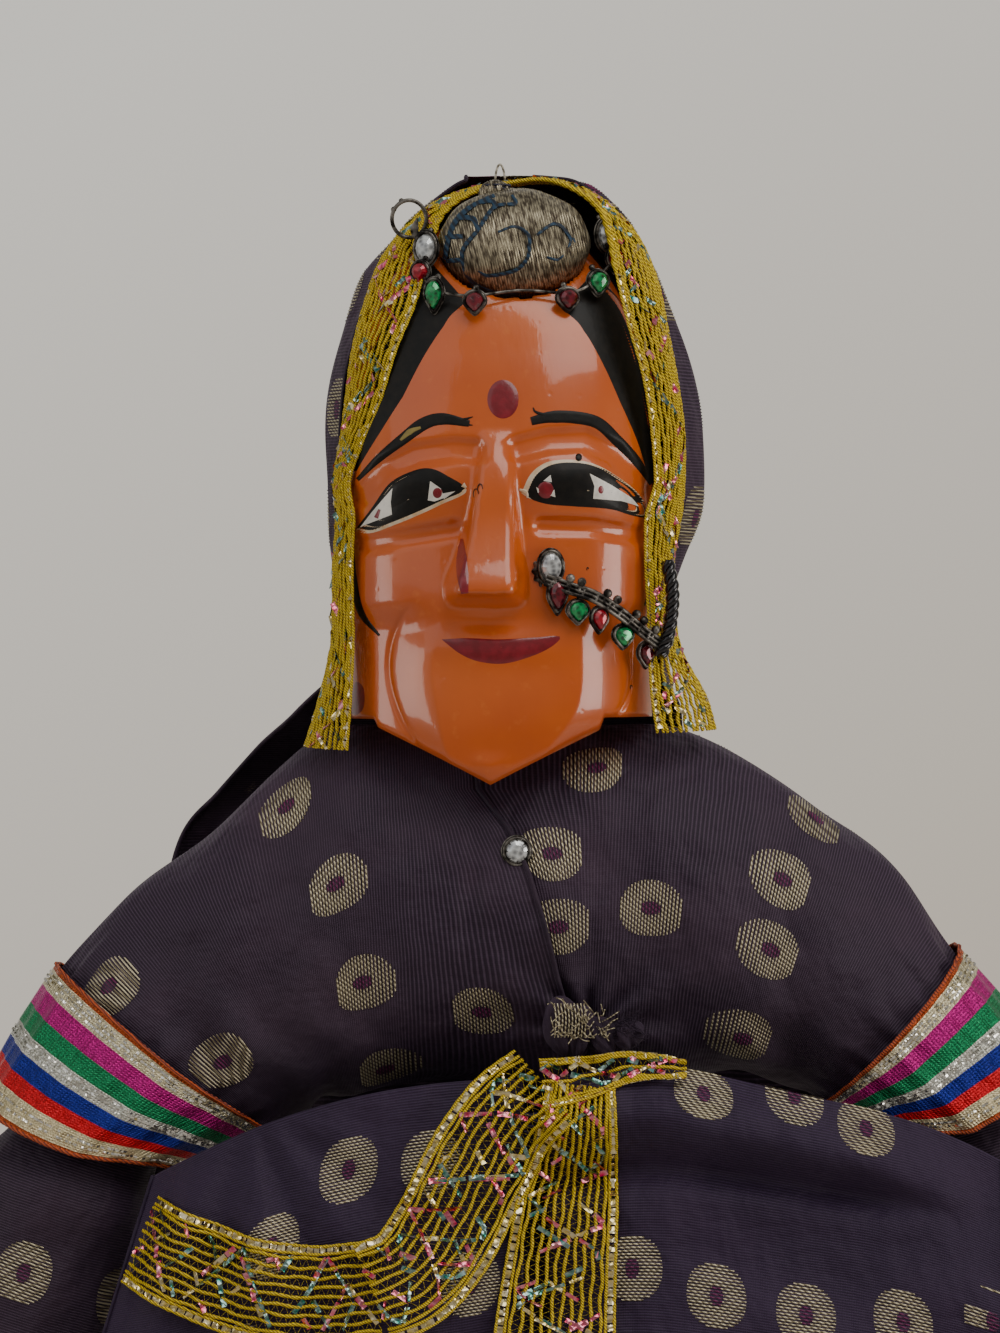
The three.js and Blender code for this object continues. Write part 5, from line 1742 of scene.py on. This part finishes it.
def wrap_left_at(u, v):
    """The surface of the veil's end on the left, with the roll and crease at its top."""
    u, v = paired(u, v)
    over = np.clip((v - 0.1) / 0.9, 0, 1)
    back = 1 - smooth(v / 0.1)
    x = 8 + 76 * u
    top = -150.2 + 2.2 * smooth(u / 0.3) - 16.8 * u**2.2 + 0.6 * np.sin(9 * u)
    low = -226 - 4 * u
    z = top + (low - top) * over - 6 * back
    fade = 1 - smooth((u - 0.62) / 0.35)
    roll = 5.2 * fade * np.exp(-(((over - 0.085 - 0.03 * u) / 0.075) ** 2))
    crease = 3.2 * fade * np.exp(-(((over - 0.225 + 0.04 * u) / 0.035) ** 2))
    soft = 1.3 * np.sin(11 * over + 4.5 * u - 0.5) + 0.7 * np.sin(23 * over - 7 * u)
    tuck = 6.5 * back * (1 - 0.85 * u * u)
    y = -21.2 - roll + crease - 10.5 * over + tuck - soft * smooth(over * 3 - 0.5) * 0.8
    puckers = 0.5 * np.sin(23 * u + 8 * over) * np.exp(-(((over - 0.16) / 0.12) ** 2))
    puckers = puckers + 1.9 * np.sin(17 * u + 1.5) * smooth((over - 0.45) / 0.5)
    puckers = puckers + 3.5 * smooth((u - 0.6) / 0.3) * over
    return np.stack([x, y - 0.5 * np.sin(7 * u + 5 * over) * smooth(over * 4) - puckers, z], -1)


def wrap_front(x, z):
    """How far forward the cloth of the two wraps lies at x and z."""
    u, over = np.clip((4 - x) / 66, 0, 1), 0.3
    for _ in range(6):
        top = -150.6 - 17 * u**2.2
        over = np.clip((z - top) / (-198 - 10 * u - top), 0, 1)
        u = np.clip((4 - x) / (62.5 + 12.5 * over * u), 0, 1)
    right = wrap_right_at(u, 0.12 + 0.88 * over)[..., 1]
    u = np.clip((x - 8) / 76, 0, 1)
    top = -150.2 + 2.2 * smooth(u / 0.3) - 16.8 * u**2.2
    over = np.clip((z - top) / (-226 - 4 * u - top), 0, 1)
    left = wrap_left_at(u, 0.1 + 0.9 * over)[..., 1]
    share = smooth((x - 1) / 10)
    return right + (left - right) * share


WRAP_MOTIFS = {
    "right": [(-25, -165.5), (-11.4, -164.3), (-38, -178), (-5, -184), (-44, -196)],
    "left": [
        (33.8, -152.7), (48.8, -153.5), (60.7, -158.7), (22, -182), (35.7, -186.3), (50.5, -189.3),
        (66.7, -190.5), (81.5, -190.5), (28, -206), (44, -208), (60, -209), (76, -210),
    ],
}
# each end's surface and its flat size in metres
WRAPS = {"right": (wrap_right_at, (0.075, 0.058)), "left": (wrap_left_at, (0.083, 0.084))}


def wraps(silk_look, motif_looks):
    """The veil's two ends over the skirt's top, with their motifs and rolled hems."""
    slot = "violet_brocade"
    for side, (at, flat) in WRAPS.items():
        cloth = Cloth(at, (0.5, 0.6))
        nodes = [f"wrap_{side}"]
        piece = cloth.sheet(f"odhni_end_{side}", 150, 150, silk_look, slot=slot, replaces=nodes, body="skirt")
        pile = Pile()
        for x, z in WRAP_MOTIFS[side]:
            u, v = cloth.find(x, z)
            butti(pile, cloth, u, v, 5.0, 5.4)
        make(f"odhni_end_motifs_{side}", pile, motif_looks, "skirt")
        hem = Pile()
        run = np.linspace(0.005, 0.995, 140)
        for u, v in ((run, 0 * run + 0.995), (0 * run + 0.005, run), (0 * run + 0.995, run)):
            line, _ = cloth.line(u, v)
            hem.tube(line, 0.35, 6)
        make(f"odhni_end_hem_{side}", hem, [silk_look], "skirt", slot)


# each lace: centre line x and z, widths along it, cords, and how far it stands off the cloth
LACES = {
    "lace_end": (
        [(-60, -177.5), (-52, -181), (-42, -184.6), (-31, -186.2), (-20, -185.2)],
        [15.5, 16.5, 17, 17], 9, 0.9,
    ),
    "lace_diagonal": (
        [(-21, -185.4), (-14.5, -182.5), (-9, -175.5), (-4.2, -166), (1.2, -157), (7.5, -151.2)],
        [17, 18, 18, 15], 9, 1.6,
    ),
    "lace_hanging": (
        [(13.5, -151.5), (12.4, -162), (10.6, -176), (9.0, -193), (8.0, -211)],
        [11, 17, 20, 22], 10, 0.8,
    ),
    "lace_tucked": ([(7, -151.2), (14, -150.2), (22, -148.4), (31, -148.8)], [8, 6.5, 4.5, 2.5], 3, 1.5),
}


def strip_at(points, widths, lift):
    """The surface of a strip of lace laid over the wraps along a line."""
    line = path(points, 160)
    ahead = unit(np.gradient(line, axis=0))
    places_u = np.linspace(0, 1, 160)

    def at(u, v):
        u, v = paired(u, v)
        x, z = (np.interp(u, places_u, line[:, k]) for k in range(2))
        aside_x = np.interp(u, places_u, -ahead[:, 1])
        aside_z = np.interp(u, places_u, ahead[:, 0])
        width = np.interp(u, np.linspace(0, 1, len(widths)), widths)
        x = x + aside_x * (v - 0.5) * width
        z = z + aside_z * (v - 0.5) * width
        ripple = 0.45 * np.sin(9 * u + 2.5 * v) + 0.3 * np.sin(21 * u + 5 * v)
        return np.stack([x, wrap_front(x, z) - lift - 0.6 - ripple, z], -1)

    return at


def skirt_laces(lace_set):
    """The four strips of lace on the veil's ends."""
    for seed, (name, (points, widths, cords, lift)) in enumerate(LACES.items()):
        cloth = Cloth(strip_at(points, widths, lift), (0.5, 0.5))
        lace(f"gota_{name}", cloth, lace_set, "skirt", [name], cords=cords, seed=20 + seed)


# ------------------------------------------------------------ stage, light and camera
FLOOR_Z = -0.505


def area_light(name, place, aim, size, power, tint, tall=None):
    """A lamp at a place, turned towards its aim."""
    data = bpy.data.lights.new(name, "AREA")
    data.shape = "RECTANGLE"
    data.size = size
    data.size_y = tall or size
    data.energy = power
    data.color = tint
    lamp = bpy.data.objects.new(name, data)
    lamp.location = place
    away = np.asarray(place, float) - np.asarray(aim, float)
    flat = math.hypot(away[0], away[1])
    lamp.rotation_euler = (math.atan2(flat, away[2]), 0, math.atan2(away[0], -away[1]))
    bpy.context.collection.objects.link(lamp)


def stage():
    """The pale room behind, the floor below the skirt and four lamps."""
    world = bpy.data.worlds.new("studio")
    world.use_nodes = True
    tree = world.node_tree
    background = tree.nodes["Background"]
    split = node(tree, "ShaderNodeSeparateXYZ", {"Vector": places(tree, "Generated")})
    slant = sums(tree, "SUBTRACT", split.outputs[2], sums(tree, "MULTIPLY", split.outputs[0], 0.45))
    tone = mixed(tree, spread(tree, slant, -0.14, 0.13), colour(194, 182, 166), colour(228, 224, 216))
    behind = spread(tree, split.outputs[1], 0.6, 0.95, 0.36, 1.0)
    tone = mixed(tree, behind, (0, 0, 0, 1), tone)
    tree.links.new(tone, background.inputs["Color"])
    background.inputs["Strength"].default_value = 1.0
    bpy.context.scene.world = world
    floor = bpy.data.meshes.new("floor")
    corners = [(-1.5, -1.5), (1.5, -1.5), (1.5, 1.5), (-1.5, 1.5)]
    floor.from_pydata([(x, y, FLOOR_Z) for x, y in corners], [], [(0, 1, 2, 3)])
    made, floor_tree, shader = look("pale_floor", Roughness=0.7)
    patches = noise(floor_tree, places(floor_tree), 3, 4)
    tone = mixed(floor_tree, patches, colour(196, 190, 182), colour(206, 200, 193))
    floor_tree.links.new(tone, shader.inputs["Base Color"])
    floor.materials.append(made)
    piece = bpy.data.objects.new("floor", floor)
    bpy.context.collection.objects.link(piece)
    face = (0.0, 0.0, -0.08)
    area_light("key", (0.42, -0.6, 0.85), face, 0.8, 6.0, (1.0, 0.97, 0.93))
    area_light("fill", (-0.8, -0.9, 0.7), face, 1.3, 2.6, (0.96, 0.97, 1.0))
    area_light("left_window", (-1.0, -0.26, -0.08), face, 0.4, 1.5, (1.0, 0.95, 0.9), 0.42)
    area_light("right_window", (1.0, -0.36, -0.08), face, 0.5, 3.4, (1.0, 0.95, 0.9), 0.42)


def camera():
    """The photograph's view, level and from the front, of the head down to the waist."""
    data = bpy.data.cameras.new("view")
    data.lens = 162
    data.sensor_width = 36
    data.clip_start = 0.01
    seen_from = bpy.data.objects.new("view", data)
    seen_from.location = (0, -1.02, -0.082)
    seen_from.rotation_euler = (math.pi / 2, 0, 0)
    bpy.context.collection.objects.link(seen_from)
    bpy.context.scene.camera = seen_from


def build():
    """Makes the looks that several pieces share, then each piece in turn."""
    camera()
    stage()
    purple = silk("purple_silk", colour(36, 22, 40), colour(94, 76, 98), colour(78, 58, 76))
    violet = silk("violet_silk", colour(36, 22, 46), colour(76, 58, 90), colour(60, 42, 70))
    band = thread("violet_cord", colour(70, 54, 100), colour(24, 16, 40))
    gold = thread("zari_thread", colour(206, 196, 166), colour(120, 108, 84), 0.55, 0.42, 3000)
    magenta = thread("magenta_silk", colour(112, 26, 84), colour(64, 14, 52), 0, 0.5, 3000)
    motif_looks = [gold, magenta]
    string_look = thread("cotton_string", colour(196, 190, 176), colour(120, 112, 98))
    hand_look = plain_cloth("hand_cotton", colour(192, 98, 40), colour(172, 78, 28))
    lace_set = lace_looks()
    head_shell()
    face_paint()
    bun()
    jewels()
    veil(purple, motif_looks, lace_set)
    for side in ("right", "left"):
        bodice(side, purple, motif_looks)
        armband(side)
        forearm(side, purple, motif_looks, lace_set, hand_look, string_look)
    waist_knot(purple, motif_looks)
    neck_threads()
    string_loops(string_look)
    skirt(violet, motif_looks, lace_set, band)
    wraps(violet, motif_looks)
    skirt_laces(lace_set)


build()
